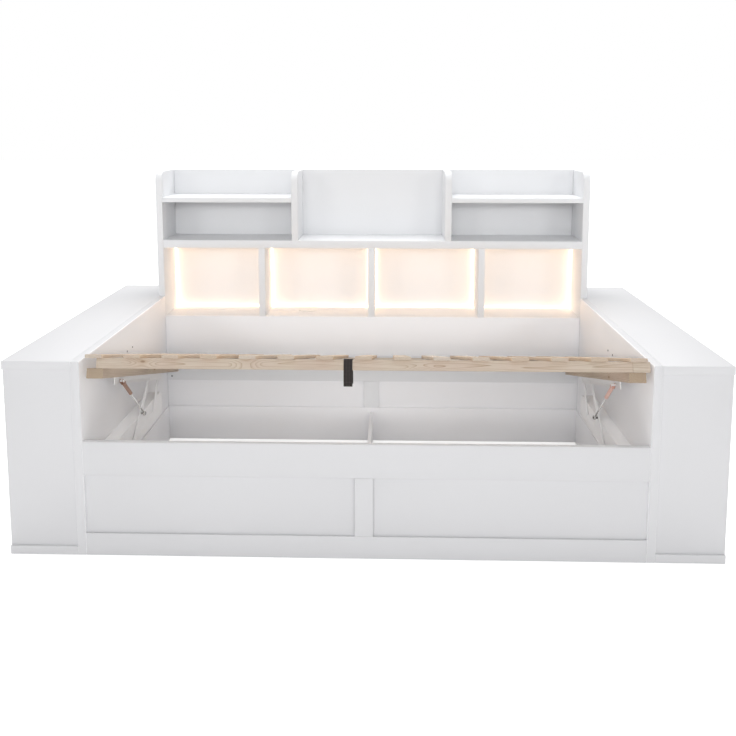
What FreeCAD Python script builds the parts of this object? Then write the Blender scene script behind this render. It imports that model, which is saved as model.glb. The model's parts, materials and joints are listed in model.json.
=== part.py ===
import FreeCAD, Part
import Sketcher
import math
import os

# Storage daybed: two cabinet arms, a bookcase back with a lit row of niches, a low front panel
# and a slatted platform that two gas-sprung linkages lift off a storage well.
# Millimetres. +Z is up, the front faces -Y, and the origin is the centre of the footprint.

doc = FreeCAD.newDocument("storage_daybed")
sheet = doc.addObject("Spreadsheet::Sheet", "Sizes")

SIZES = [
    ("bay_width", 1930.0, "clear width between the arms"),
    ("arm_width", 268.0, "width of one arm, inner side board included"),
    ("arm_height", 692.0, "top of the arms"),
    ("full_depth", 1320.0, "front of the arms to the back of the bookcase"),
    ("bookcase_depth", 260.0, "front edges of the bookcase to its back"),
    ("bookcase_height", 1272.0, "top of the bookcase"),
    ("board", 30.0, "thickness of the main boards"),
    ("thin_board", 18.0, "thickness of shelves, partitions and the lower back wall"),
    ("panel", 12.0, "thickness of the arms' end panels and the bookcase's back panel"),
    ("field_panel", 6.0, "thickness of the panels held in the front and back frames"),
    ("panel_inset", 9.0, "how far the panels lie behind the rails' faces"),
    ("groove_depth", 8.0, "depth of the frames' grooves"),
    ("groove_room", 1.0, "room past a panel's edge in its groove"),
    ("shelf_setback", 10.0, "how far arm shelves lie behind the arm's outer edge"),
    ("corner_round", 45.0, "front top corner of the bookcase uprights"),
    ("edge_round", 5.0, "rounding along the arm's inner top edge"),
    ("niche_depth", 222.0, "bookcase front edges to its back panel"),
    ("lit_floor_top", 598.0, "floor of the lit row"),
    ("long_shelf_under", 920.0, "underside of the long shelf"),
    ("long_shelf_board", 36.0, "thickness of the long shelf"),
    ("upper_row_share", 0.557, "share of the height over the long shelf where the upper shelves lie"),
    ("top_shelf_board", 22.0, "thickness of the upper shelves"),
    ("lit_divider_place", 508.5, "middle of an outer divider of the lit row, from the centre"),
    ("upper_divider_place", 353.0, "middle of an upper divider, from the centre"),
    ("grommet_place", 309.0, "middle of the cable grommet, left of the centre"),
    ("grommet_back", 140.0, "middle of the cable grommet, behind the bookcase's front edges"),
    ("grommet_hole", 40.0, "radius of the cable grommet's hole"),
    ("grommet_lip", 5.0, "how far the grommet's flange covers the floor round its hole"),
    ("grommet_wall", 3.0, "thickness of the grommet's flange, sleeve and cap"),
    ("grommet_sleeve", 24.0, "depth of the grommet's sleeve"),
    ("grommet_play", 0.3, "gap round the grommet's sleeve and round its cap"),
    ("cable_slot", 14.0, "width of the cable slot in the grommet's cap"),
    ("strip_width", 10.0, "width of a light strip"),
    ("strip_thickness", 4.0, "thickness of a light strip"),
    ("back_frame_top", 410.0, "top of the lower back wall's frame"),
    ("back_panel_top", 288.0, "top of the lower back wall's recessed panels"),
    ("back_foot_top", 160.0, "top of the lower back wall's foot rail"),
    ("back_stile", 70.0, "width of the lower back wall's centre stile"),
    ("foot_board", 22.0, "thickness of the front panel's rails"),
    ("foot_height", 409.5, "top of the front panel"),
    ("foot_panel_top", 290.0, "top of the front panel's recessed panels"),
    ("foot_panel_base", 80.0, "top of the front panel's bottom rail"),
    ("foot_stile", 64.0, "width of the front panel's centre stile"),
    ("divider_board", 15.0, "thickness of the storage divider"),
    ("side_board", 5.0, "thickness of the low side boards"),
    ("divider_top", 140.0, "top of the storage divider"),
    ("lift_angle", 15.9, "tilt of the raised platform, in degrees"),
    ("rail_width", 57.0, "width of the platform's battens"),
    ("side_rail_depth", 34.0, "height of the side rails"),
    ("cross_rail_depth", 35.0, "height of the cross rails"),
    ("rail_room", 60.0, "depth of the bay that the side rails leave over"),
    ("side_rail_reach", 940.0, "outer face of a side rail, from the centre"),
    ("slat_width", 57.0, "width of a slat"),
    ("slat_board", 12.0, "thickness of a slat"),
    ("slat_reach", 939.5, "outer edge of the outermost slats, from the centre"),
    ("slat_overhang", 26.0, "how far the slats stand out over the front rail"),
    ("cross_left_reach", 908.0, "left end of the cross rails, from the centre"),
    ("cross_right_reach", 897.0, "right end of the cross rails, from the centre"),
    ("end_block_reach", 955.0, "right end of the front rail's end block, from the centre"),
    ("seat_gap", 0.3, "gap between pieces that lie against each other on different bodies"),
    ("front_pivot_back", 383.0, "front link's fixed pivot, behind the front face"),
    ("front_pivot_height", 259.5, "front link's fixed pivot, above the floor"),
    ("rear_pivot_back", 656.7, "rear link's fixed pivot, behind the front face"),
    ("rear_pivot_height", 292.3, "rear link's fixed pivot, above the floor"),
    ("front_link_length", 285.4, "front link between its pivots"),
    ("front_link_angle", 40.27, "rise of the front link when raised, in degrees"),
    ("front_pin_place", 634.6, "front link's pin along the side rail"),
    ("rear_pin_place", 760.8, "rear link's pin along the side rail"),
    ("pin_drop", 18.0, "link pins below the side rail"),
    ("steel", 3.0, "thickness of the bracket's steel"),
    ("link_steel", 4.0, "thickness of links and base plate"),
    ("flange_plane", 905.0, "inner face of the bracket's upright flange, from the centre"),
    ("link_play", 1.0, "gap between the flange, the links and the base plate"),
    ("strut_play", 4.5, "gap between the gas spring's eyes and the bracket's flange"),
    ("bracket_start", 190.0, "front end of the bracket along the side rail"),
    ("bracket_length", 600.0, "length of the bracket"),
    ("bracket_drop", 28.0, "height of the bracket's upright flange"),
    ("bracket_flange", 32.0, "width of the bracket's flange under the rail"),
    ("front_link_width", 27.0, "width of the front link"),
    ("rear_link_width", 22.0, "width of the rear link"),
    ("pin_radius", 4.0, "radius of the pivot pins"),
    ("head_radius", 6.0, "radius of the pin heads"),
    ("head_height", 1.5, "height of the pin heads"),
    ("running_play", 0.06, "radial clearance of a pivot"),
    ("open_play", 4.4, "radial clearance where the rear link's top pivot is opened"),
    ("plate_start", 192.0, "front end of the base plate, behind the front face"),
    ("plate_length", 590.0, "length of the base plate"),
    ("plate_base", 238.0, "lower edge of the base plate's web"),
    ("plate_top", 332.0, "upper edge of the base plate's web"),
    ("plate_chamfer", 24.0, "cut corners of the base plate"),
    ("plate_foot", 24.0, "height of the base plate's foot flange on the wall"),
    ("cylinder_radius", 7.0, "radius of the gas cylinder"),
    ("cylinder_length", 122.0, "gas cylinder from its pivot to its open end"),
    ("bore_start", 17.2, "closed end of the gas cylinder's bore, from its pivot"),
    ("rod_radius", 3.0, "radius of the gas rod"),
    ("rod_hidden", 8.0, "gas rod inside the cylinder when raised"),
    ("rod_play", 0.4, "gap between rod and cylinder bore"),
    ("strut_pin_place", 243.0, "gas cylinder's pin along the side rail"),
    ("strut_pin_drop", 16.0, "gas cylinder's pin below the side rail"),
    ("strut_link_place", 121.0, "gas rod's pin along the front link"),
    ("eye_radius", 9.0, "outer radius of the gas rod's eye"),
    ("eye_width", 9.0, "width of the gas spring's eyes"),
    ("strap_width", 30.0, "width of the pull strap"),
    ("strap_thickness", 2.5, "thickness of the pull strap"),
    ("strap_place", 53.0, "middle of the pull strap, left of the centre"),
    ("strap_hang", 48.0, "how far the strap's ends hang below the front rail"),
    ("screw_radius", 4.0, "radius of the screws' heads"),
    ("screw_head", 1.5, "height of the screws' heads"),
    ("screw_height", 585.0, "height of the wall screws above the floor"),
    ("screw_front_place", 500.0, "front wall screw behind the front face"),
    ("screw_spacing", 66.0, "distance between the two wall screws"),
    ("back_screw_side", 22.0, "back rail's screw from the left arm's inner wall"),
    ("back_screw_rise", 19.0, "back rail's screw above the rail's lower edge"),
]
SLAT_COUNT = 15
SCREW_COUNT = 4


class Size:
    """A number that remembers the spreadsheet expression it comes from."""

    def __init__(self, text, number):
        self.text = text
        self.number = number

    def __add__(self, other):
        other = as_size(other)
        return Size("(%s + %s)" % (self.text, other.text), self.number + other.number)

    def __sub__(self, other):
        other = as_size(other)
        return Size("(%s - %s)" % (self.text, other.text), self.number - other.number)

    def __mul__(self, other):
        other = as_size(other)
        return Size("(%s * %s)" % (self.text, other.text), self.number * other.number)

    def __truediv__(self, other):
        other = as_size(other)
        return Size("(%s / %s)" % (self.text, other.text), self.number / other.number)

    def __neg__(self):
        return Size("(-1 * %s)" % self.text, -self.number)


def as_size(value):
    if isinstance(value, Size):
        return value
    return Size(repr(value), float(value))


def cosine(angle):
    return Size("cos(%s)" % angle.text, math.cos(math.radians(angle.number)))


def sine(angle):
    return Size("sin(%s)" % angle.text, math.sin(math.radians(angle.number)))


def length_of(across, up):
    return Size("sqrt(%s ^ 2 + %s ^ 2)" % (across.text, up.text), math.hypot(across.number, up.number))


def angle_of(across, up):
    return Size("atan2(%s; %s)" % (up.text, across.text), math.degrees(math.atan2(up.number, across.number)))


def fill_sheet():
    sizes = {}
    for row, (alias, number, note) in enumerate(SIZES, start=1):
        sheet.set("A%d" % row, str(number))
        sheet.setAlias("A%d" % row, alias)
        sheet.set("B%d" % row, note)
        sizes[alias] = Size("Sizes.%s" % alias, number)
    doc.recompute()
    return sizes


z = fill_sheet()
parts = {}


def keep(obj, name):
    """Names a finished sub-part after its node."""
    obj.Label = name
    parts[name] = obj
    return obj


def place(obj, x, y, height, turn=None):
    """Puts an object at a point, turned about the X axis through that point."""
    if turn is not None:
        obj.Placement = FreeCAD.Placement(
            FreeCAD.Vector(0, 0, 0), FreeCAD.Rotation(FreeCAD.Vector(1, 0, 0), 45))
        obj.setExpression("Placement.Rotation.Angle", turn.text)
    for axis, value in (("x", x), ("y", y), ("z", height)):
        obj.setExpression("Placement.Base.%s" % axis, as_size(value).text)
    return obj


def box(name, x, y, height, turn=None, corner=None):
    """A box between two limits on each axis, or turned about X at a given corner."""
    obj = doc.addObject("Part::Box", name)
    for field, (low, high) in (("Length", x), ("Width", y), ("Height", height)):
        obj.setExpression(field, (as_size(high) - low).text)
    if corner is None:
        corner = (y[0], height[0])
    return place(obj, x[0], corner[0], corner[1], turn)


def cut_from(name, base, tool):
    obj = doc.addObject("Part::Cut", name)
    obj.Base = base
    obj.Tool = tool
    return obj


def group(name, members):
    obj = doc.addObject("Part::Compound", name)
    obj.Links = members
    return keep(obj, name)


def mirrored(side, low, high):
    """Limits on X for the right side, or the same ones mirrored for the left."""
    if side == "right":
        return (low, high)
    return (-as_size(high), -as_size(low))


def origin_plane(body, role):
    for feature in body.Origin.OriginFeatures:
        if feature.Role == role:
            return feature
    raise ValueError(role)


def sketch_on(body, name, role="YZ_Plane"):
    sketch = body.newObject("Sketcher::SketchObject", name)
    sketch.AttachmentSupport = [(origin_plane(body, role), "")]
    sketch.MapMode = "FlatFace"
    return sketch


def bind(sketch, kind, arguments, size, name):
    index = sketch.addConstraint(Sketcher.Constraint(kind, *(arguments + (abs(size.number),))))
    sketch.renameConstraint(index, name)
    sketch.setExpression("Constraints.%s" % name, size.text)


def outline(sketch, corners):
    """A closed outline of straight sides through named corners, given as (across, up) sizes."""
    count = len(corners)
    points = [FreeCAD.Vector(a.number, b.number, 0) for a, b in corners]
    for i in range(count):
        sketch.addGeometry(Part.LineSegment(points[i], points[(i + 1) % count]), False)
    for i in range(count):
        sketch.addConstraint(Sketcher.Constraint("Coincident", i, 2, (i + 1) % count, 1))
    for i, (across, up) in enumerate(corners):
        fix_point(sketch, i, 1, across, up, "corner_%d" % i)


def fix_point(sketch, item, end, across, up, name):
    """Ties a sketch point to the sketch's origin by two signed distances."""
    for kind, value, tag in (("DistanceX", across, "across"), ("DistanceY", up, "up")):
        index = sketch.addConstraint(Sketcher.Constraint(kind, -1, 1, item, end, value.number))
        label = "%s_%s" % (name, tag)
        sketch.renameConstraint(index, label)
        sketch.setExpression("Constraints.%s" % label, value.text)


def circle(sketch, across, up, radius, name):
    item = sketch.addGeometry(
        Part.Circle(FreeCAD.Vector(across.number, up.number, 0), FreeCAD.Vector(0, 0, 1), radius.number), False)
    fix_point(sketch, item, 3, across, up, name)
    bind(sketch, "Radius", (item,), radius, name + "_radius")
    return item


def slot(sketch, length, radius, name):
    """A bar with round ends about the sketch's origin and a second centre along its first axis."""
    origin = FreeCAD.Vector(0, 0, 0)
    far = FreeCAD.Vector(length.number, 0, 0)
    up = FreeCAD.Vector(0, 0, 1)
    quarter = math.pi / 2
    near_arc = sketch.addGeometry(
        Part.ArcOfCircle(Part.Circle(origin, up, radius.number), quarter, 3 * quarter), False)
    far_arc = sketch.addGeometry(
        Part.ArcOfCircle(Part.Circle(far, up, radius.number), -quarter, quarter), False)
    top = sketch.addGeometry(Part.LineSegment(
        FreeCAD.Vector(0, radius.number, 0), FreeCAD.Vector(length.number, radius.number, 0)), False)
    base = sketch.addGeometry(Part.LineSegment(
        FreeCAD.Vector(0, -radius.number, 0), FreeCAD.Vector(length.number, -radius.number, 0)), False)
    sketch.addConstraint(Sketcher.Constraint("Coincident", near_arc, 3, -1, 1))
    sketch.addConstraint(Sketcher.Constraint("PointOnObject", far_arc, 3, -1))
    sketch.addConstraint(Sketcher.Constraint("Tangent", near_arc, 1, top, 1))
    sketch.addConstraint(Sketcher.Constraint("Tangent", far_arc, 2, top, 2))
    sketch.addConstraint(Sketcher.Constraint("Tangent", near_arc, 2, base, 1))
    sketch.addConstraint(Sketcher.Constraint("Tangent", far_arc, 1, base, 2))
    bind(sketch, "Radius", (near_arc,), radius, name + "_radius")
    bind(sketch, "DistanceX", (-1, 1, far_arc, 3), length, name + "_length")


def pad(body, sketch, thickness, name, start=None):
    """A pad along +X from the sketch's plane, or from a given distance along it."""
    feature = body.newObject("PartDesign::Pad", name)
    feature.Profile = sketch
    feature.setExpression("Length", thickness.text)
    sketch.Visibility = False
    if start is not None:
        sketch.setExpression("AttachmentOffset.Base.z", start.text)
    return feature


# Derived lines that several pieces share.
half_bay = z["bay_width"] / 2
half_width = half_bay + z["arm_width"]
inner_face = half_bay + z["board"]
front = -z["full_depth"] / 2
back = z["full_depth"] / 2
bay_depth = z["full_depth"] - z["bookcase_depth"]
bookcase_front = front + bay_depth
niche_back = bookcase_front + z["niche_depth"]
wall_back = bookcase_front + z["thin_board"]
foot_back = front + z["foot_board"]
arm_ceiling = z["arm_height"] - z["board"]
rail_length = bay_depth - z["rail_room"]

# The middle of the cable grommet on the lit row's floor.
grommet_at = (-z["grommet_place"], bookcase_front + z["grommet_back"])

# The lift's steel lies in layers outwards from the bracket's flange, with the gas spring inside it.
link_plane = z["flange_plane"] + z["steel"] + z["link_play"]
plate_plane = link_plane + z["link_steel"] + z["link_play"]
strut_plane = z["flange_plane"] - z["strut_play"] - z["eye_width"] / 2

# Where the raised platform sits: the front link's angle carries its pin, and the tilt does the rest.
tilt_cos = cosine(z["lift_angle"])
tilt_sin = sine(z["lift_angle"])
front_pivot = (front + z["front_pivot_back"], z["front_pivot_height"])
rear_pivot = (front + z["rear_pivot_back"], z["rear_pivot_height"])
front_pin = (
    front_pivot[0] + z["front_link_length"] * cosine(z["front_link_angle"]),
    front_pivot[1] + z["front_link_length"] * sine(z["front_link_angle"]))
rail_front = (
    front_pin[0] - z["front_pin_place"] * tilt_cos + z["pin_drop"] * tilt_sin,
    front_pin[1] + z["front_pin_place"] * tilt_sin + z["pin_drop"] * tilt_cos)


def on_platform(along, over):
    """The point of the raised platform a distance along its side rail and over the rail's underside."""
    return (rail_front[0] + along * tilt_cos + over * tilt_sin,
            rail_front[1] - along * tilt_sin + over * tilt_cos)


def platform_box(name, x, along, over):
    corner = on_platform(as_size(along[0]), as_size(over[0]))
    return box(name, x, along, over, turn=-z["lift_angle"], corner=corner)


def arm(side):
    """One cabinet arm: a case of thick boards, closed at its ends and open towards the outside."""
    case_x = mirrored(side, inner_face, half_width)
    depth = (front, back)
    keep(box(side + "_arm_top", case_x, depth, (arm_ceiling, z["arm_height"])), side + "_arm_top")
    keep(box(side + "_arm_bottom", case_x, depth, (as_size(0), z["board"])), side + "_arm_bottom")
    inside = (z["board"], arm_ceiling)
    front_face = front + z["panel_inset"]
    back_face = back - z["panel_inset"]
    keep(box(side + "_arm_front_panel", case_x, (front_face, front_face + z["panel"]), inside),
         side + "_arm_front_panel")
    keep(box(side + "_arm_back_panel", case_x, (back_face - z["panel"], back_face), inside),
         side + "_arm_back_panel")
    shelf_x = mirrored(side, inner_face, half_width - z["shelf_setback"])
    start = front_face + z["panel"]
    bay = (back_face - z["panel"] - start - z["thin_board"] * 2) / 3
    step = bay + z["thin_board"]
    uprights = []
    for i in range(2):
        low = start + step * i + bay
        uprights.append(box("%s_partition_%d" % (side, i + 1), shelf_x, (low, low + z["thin_board"]), inside))
    group(side + "_arm_partitions", uprights)
    middle = (z["board"] + arm_ceiling - z["thin_board"]) / 2
    shelves = []
    for i in range(3):
        low = start + step * i
        shelves.append(box("%s_shelf_%d" % (side, i + 1), shelf_x, (low, low + bay),
                           (middle, middle + z["thin_board"])))
    group(side + "_arm_shelves", shelves)


def rounded_upright(name, x_low, thickness, y_low, depth, base, top, radius):
    """A board standing in the YZ plane whose front top corner is rounded."""
    body = doc.addObject("PartDesign::Body", name)
    sketch = sketch_on(body, name + "_outline")
    height = top - base
    points = [
        (as_size(0), as_size(0)), (depth, as_size(0)), (depth, height), (radius, height), (as_size(0), height - radius)]
    vectors = [FreeCAD.Vector(a.number, b.number, 0) for a, b in points]
    for i in (0, 1, 2):
        sketch.addGeometry(Part.LineSegment(vectors[i], vectors[i + 1]), False)
    centre = FreeCAD.Vector(radius.number, (height - radius).number, 0)
    arc = sketch.addGeometry(Part.ArcOfCircle(
        Part.Circle(centre, FreeCAD.Vector(0, 0, 1), radius.number), math.pi / 2, math.pi), False)
    sketch.addGeometry(Part.LineSegment(vectors[4], vectors[0]), False)
    for first, second in ((0, 1), (1, 2)):
        sketch.addConstraint(Sketcher.Constraint("Coincident", first, 2, second, 1))
    sketch.addConstraint(Sketcher.Constraint("Tangent", 2, 2, arc, 1))
    sketch.addConstraint(Sketcher.Constraint("Tangent", arc, 2, 4, 1))
    sketch.addConstraint(Sketcher.Constraint("Coincident", 4, 2, 0, 1))
    sketch.addConstraint(Sketcher.Constraint("Coincident", 0, 1, -1, 1))
    sketch.addConstraint(Sketcher.Constraint("Horizontal", 0))
    sketch.addConstraint(Sketcher.Constraint("Vertical", 1))
    sketch.addConstraint(Sketcher.Constraint("Horizontal", 2))
    sketch.addConstraint(Sketcher.Constraint("Vertical", 4))
    bind(sketch, "DistanceX", (0, 1, 0, 2), depth, "depth")
    bind(sketch, "DistanceY", (1, 1, 1, 2), height, "height")
    bind(sketch, "Radius", (arc,), radius, "corner")
    pad(body, sketch, thickness, name + "_pad")
    return place(body, x_low, y_low, base)


def arm_inner_side(side):
    """The arm's inner wall, with the rounding along its top edge that faces the bay."""
    name = side + "_arm_inner_side"
    x = mirrored(side, half_bay, inner_face)
    body = doc.addObject("PartDesign::Body", name)
    sketch = sketch_on(body, name + "_outline", "XZ_Plane")
    width = z["board"]
    height = z["arm_height"]
    radius = z["edge_round"]
    corners = [(as_size(0), as_size(0)), (width, as_size(0)), (width, height), (radius, height),
               (as_size(0), height - radius)]
    if side == "left":
        corners = [(width - a, b) for a, b in corners]
    v = [FreeCAD.Vector(a.number, b.number, 0) for a, b in corners]
    for i in (0, 1, 2):
        sketch.addGeometry(Part.LineSegment(v[i], v[i + 1]), False)
    centre_x = radius if side == "right" else width - radius
    centre = FreeCAD.Vector(centre_x.number, (height - radius).number, 0)
    start, end = (math.pi / 2, math.pi) if side == "right" else (0, math.pi / 2)
    arc = sketch.addGeometry(Part.ArcOfCircle(
        Part.Circle(centre, FreeCAD.Vector(0, 0, 1), radius.number), start, end), False)
    sketch.addGeometry(Part.LineSegment(v[4], v[0]), False)
    top_end, side_end = (1, 2) if side == "right" else (2, 1)
    for first, second in ((0, 1), (1, 2)):
        sketch.addConstraint(Sketcher.Constraint("Coincident", first, 2, second, 1))
    sketch.addConstraint(Sketcher.Constraint("Tangent", 2, 2, arc, top_end))
    sketch.addConstraint(Sketcher.Constraint("Tangent", arc, side_end, 4, 1))
    sketch.addConstraint(Sketcher.Constraint("Coincident", 4, 2, 0, 1))
    sketch.addConstraint(Sketcher.Constraint("Horizontal", 0))
    sketch.addConstraint(Sketcher.Constraint("Vertical", 1))
    sketch.addConstraint(Sketcher.Constraint("Horizontal", 2))
    sketch.addConstraint(Sketcher.Constraint("Vertical", 4))
    fix_point(sketch, 0, 1, corners[0][0], corners[0][1], "foot")
    fix_point(sketch, 1, 2, corners[2][0], corners[2][1], "top")
    bind(sketch, "Radius", (arc,), radius, "edge")
    feature = pad(body, sketch, bay_depth, name + "_pad")
    feature.Reversed = True
    keep(place(body, x[0], front, as_size(0)), name)


def bookcase():
    for side in ("left", "right"):
        x = mirrored(side, half_bay, inner_face)
        body = rounded_upright(side + "_bookcase_side", x[0], z["board"], bookcase_front,
                               back - bookcase_front, as_size(0), z["bookcase_height"],
                               z["corner_round"])
        keep(body, side + "_bookcase_side")
    across = (-half_bay, half_bay)
    niche = (bookcase_front, niche_back)
    keep(box("bookcase_back_panel", across, (niche_back, niche_back + z["panel"]),
             (as_size(0), z["bookcase_height"])), "bookcase_back_panel")
    keep(box("long_shelf", across, niche,
             (z["long_shelf_under"], z["long_shelf_under"] + z["long_shelf_board"])), "long_shelf")
    floor = box("lit_row_board", across, (wall_back, niche_back), (z["lit_floor_top"] - z["board"], z["lit_floor_top"]))
    hole = doc.addObject("Part::Cylinder", "grommet_hole")
    hole.setExpression("Radius", z["grommet_hole"].text)
    hole.setExpression("Height", (z["board"] * 2).text)
    place(hole, grommet_at[0], grommet_at[1], z["lit_floor_top"] - z["board"] * 1.5)
    keep(cut_from("lit_row_floor", floor, hole), "lit_row_floor")
    half_board = z["board"] / 2
    dividers = []
    for i, middle in enumerate((-z["lit_divider_place"], as_size(0), z["lit_divider_place"])):
        dividers.append(box("lit_row_divider_%d" % (i + 1), (middle - half_board, middle + half_board), niche,
                            (z["lit_floor_top"], z["long_shelf_under"])))
    group("lit_row_dividers", dividers)
    shelf_top = z["long_shelf_under"] + z["long_shelf_board"]
    upper_shelf = shelf_top + (z["bookcase_height"] - shelf_top) * z["upper_row_share"]
    uprights = []
    shelves = []
    for side in ("left", "right"):
        x = mirrored(side, z["upper_divider_place"] - half_board, z["upper_divider_place"] + half_board)
        uprights.append(rounded_upright(side + "_upper_divider", x[0], z["board"], bookcase_front,
                                        z["niche_depth"], shelf_top, z["bookcase_height"],
                                        z["corner_round"]))
        shelf_x = mirrored(side, z["upper_divider_place"] + half_board, half_bay)
        shelves.append(box(side + "_top_shelf", shelf_x, niche, (upper_shelf, upper_shelf + z["top_shelf_board"])))
    group("upper_dividers", uprights)
    group("top_shelves", shelves)


def light_strips():
    """A strip round the back edge of each lit niche, against its walls and its back panel."""
    half_board = z["board"] / 2
    outer = z["lit_divider_place"]
    bays = [(-half_bay, -outer - half_board), (-outer + half_board, -half_board),
            (half_board, outer - half_board), (outer + half_board, half_bay)]
    strips = []
    for i, (low, high) in enumerate(bays):
        y = (niche_back - z["strip_width"], niche_back)
        ring = box("strip_outer_%d" % (i + 1), (low, high), y, (z["lit_floor_top"], z["long_shelf_under"]))
        hole = box("strip_inner_%d" % (i + 1), (low + z["strip_thickness"], high - z["strip_thickness"]),
                   (y[0] - z["strip_width"], y[1] + z["strip_width"]),
                   (z["lit_floor_top"] + z["strip_thickness"], z["long_shelf_under"] - z["strip_thickness"]))
        strips.append(cut_from("strip_%d" % (i + 1), ring, hole))
    group("light_strips", strips)


def grommet():
    """A round cable grommet in the second lit niche: a flanged sleeve and a cap with a cable slot."""
    wall = z["grommet_wall"]
    outer = z["grommet_hole"] - z["grommet_play"]
    inner = outer - wall
    ledge = inner - wall
    zero = as_size(0)
    ring = doc.addObject("PartDesign::Body", "grommet_ring")
    profile = sketch_on(ring, "grommet_ring_profile", "XZ_Plane")
    outline(profile, [(inner, wall), (z["grommet_hole"] + z["grommet_lip"], wall),
                      (z["grommet_hole"] + z["grommet_lip"], zero), (outer, zero), (outer, -z["grommet_sleeve"]),
                      (inner, -z["grommet_sleeve"]), (inner, -wall), (ledge, -wall), (ledge, zero), (inner, zero)])
    turned = ring.newObject("PartDesign::Revolution", "grommet_ring_turned")
    turned.Profile = profile
    turned.ReferenceAxis = (profile, ["V_Axis"])
    turned.Angle = 360
    place(ring, grommet_at[0], grommet_at[1], z["lit_floor_top"])
    keep(ring, "grommet_ring")

    disc = doc.addObject("Part::Cylinder", "grommet_disc")
    disc.setExpression("Radius", (inner - z["grommet_play"]).text)
    disc.setExpression("Height", wall.text)
    place(disc, grommet_at[0], grommet_at[1], z["lit_floor_top"])
    half = z["cable_slot"] / 2
    slot_box = box("cable_slot_box", (grommet_at[0] - half, grommet_at[0] + half),
                   (grommet_at[1] + ledge - half, grommet_at[1] + z["grommet_hole"]),
                   (z["lit_floor_top"] - wall, z["lit_floor_top"] + wall * 2))
    keep(cut_from("grommet_cap", disc, slot_box), "grommet_cap")


def panel_frame(names, y, levels, stile_width):
    """Two rails and a centre stile with the two thin panels held in their grooves."""
    top_rail, low_rail, stile, panels = names
    foot, base, top, head = levels
    across = (-half_bay, half_bay)
    half_stile = stile_width / 2
    groove = z["groove_depth"]
    tongue = groove - z["groove_room"]
    seat = (y[0] + z["panel_inset"], y[0] + z["panel_inset"] + z["field_panel"])
    tools = []
    fields = []
    for side in ("left", "right"):
        tools.append(box("%s_%s_groove" % (side, top_rail), mirrored(side, half_stile - groove, half_bay), seat,
                         (base - groove, top + groove)))
        fields.append(box("%s_%s_field" % (side, top_rail), mirrored(side, half_stile - tongue, half_bay), seat,
                          (base - tongue, top + tongue)))
    grooves = doc.addObject("Part::Compound", top_rail + "_grooves")
    grooves.Links = tools
    for name, x, height in ((top_rail, across, (top, head)), (low_rail, across, (foot, base)),
                            (stile, (-half_stile, half_stile), (base, top))):
        keep(cut_from(name, box(name + "_board", x, y, height), grooves), name)
    group(panels, fields)


def back_wall():
    """The framed wall between the storage well and the space under the bookcase."""
    y = (bookcase_front, wall_back)
    keep(box("lower_back_board", (-half_bay, half_bay), y, (z["back_frame_top"], z["lit_floor_top"])),
         "lower_back_board")
    panel_frame(("back_top_rail", "back_foot_rail", "back_centre_stile", "back_wall_panels"), y,
                (as_size(0), z["back_foot_top"], z["back_panel_top"], z["back_frame_top"]), z["back_stile"])


def front_panel():
    panel_frame(("front_top_rail", "front_bottom_rail", "front_centre_stile", "front_panels"), (front, foot_back),
                (as_size(0), z["foot_panel_base"], z["foot_panel_top"], z["foot_height"]), z["foot_stile"])


def storage():
    """The well's centre divider and the low boards along the arms' inner walls. The room's floor is its floor."""
    half = z["divider_board"] / 2
    y = (foot_back, bookcase_front)
    keep(box("storage_divider_board", (-half, half), y, (as_size(0), z["divider_top"])), "storage_divider")
    sides = []
    for side in ("left", "right"):
        sides.append(box(side + "_side_board", mirrored(side, half_bay - z["side_board"], half_bay), y,
                         (as_size(0), z["back_foot_top"])))
    group("storage_side_boards", sides)


def platform():
    """The slatted frame, in its raised and tilted place."""
    rail_top = z["side_rail_depth"]
    cross_top = rail_top + z["cross_rail_depth"]
    slat_top = cross_top + z["slat_board"]
    length = rail_length
    for side in ("left", "right"):
        x = mirrored(side, z["side_rail_reach"] - z["rail_width"], z["side_rail_reach"])
        keep(platform_box(side + "_side_rail", x, (as_size(0), length), (as_size(0), rail_top)),
             side + "_side_rail")
    cross_x = (-z["cross_left_reach"], z["cross_right_reach"])
    over = (rail_top, cross_top)
    middle = (length - z["rail_width"]) / 2
    for name, start in (("front_rail", as_size(0)), ("middle_rail", middle), ("back_rail", length - z["rail_width"])):
        keep(platform_box(name, cross_x, (start, start + z["rail_width"]), over), name)
    keep(platform_box("front_rail_end_block", (z["cross_right_reach"], z["end_block_reach"]),
                      (as_size(0), z["rail_width"]), over), "front_rail_end_block")
    pitch = (z["slat_reach"] * 2 - z["slat_width"]) / (SLAT_COUNT - 1)
    slats = []
    for i in range(SLAT_COUNT):
        low = -z["slat_reach"] + pitch * i
        slats.append(platform_box("slat_%02d" % (i + 1), (low, low + z["slat_width"]),
                                  (-z["slat_overhang"], length), (cross_top, slat_top)))
    group("slats", slats)


def strap():
    """Webbing laid over the front rail, whose two ends hang straight down in the raised place."""
    body = doc.addObject("PartDesign::Body", "pull_strap")
    sketch = sketch_on(body, "pull_strap_outline")
    gap = z["seat_gap"]
    thick = z["strap_thickness"]
    base = z["side_rail_depth"]
    top = base + z["cross_rail_depth"] + gap
    foot = base - z["strap_hang"] * tilt_cos
    lean = z["strap_hang"] * tilt_sin
    inner = -gap
    outer = inner - thick
    near = z["rail_width"] + gap
    far = near + thick
    outline(sketch, [(outer, top + thick), (outer, base), (outer + lean, foot), (inner + lean, foot),
                     (inner, base), (inner, top), (near, top), (near, base), (near + lean, foot),
                     (far + lean, foot), (far, base), (far, top + thick)])
    pad(body, sketch, z["strap_width"], "pull_strap_pad")
    corner = on_platform(as_size(0), as_size(0))
    place(body, -z["strap_place"] - z["strap_width"] / 2, corner[0], corner[1], turn=-z["lift_angle"])
    keep(body, "pull_strap")


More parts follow.
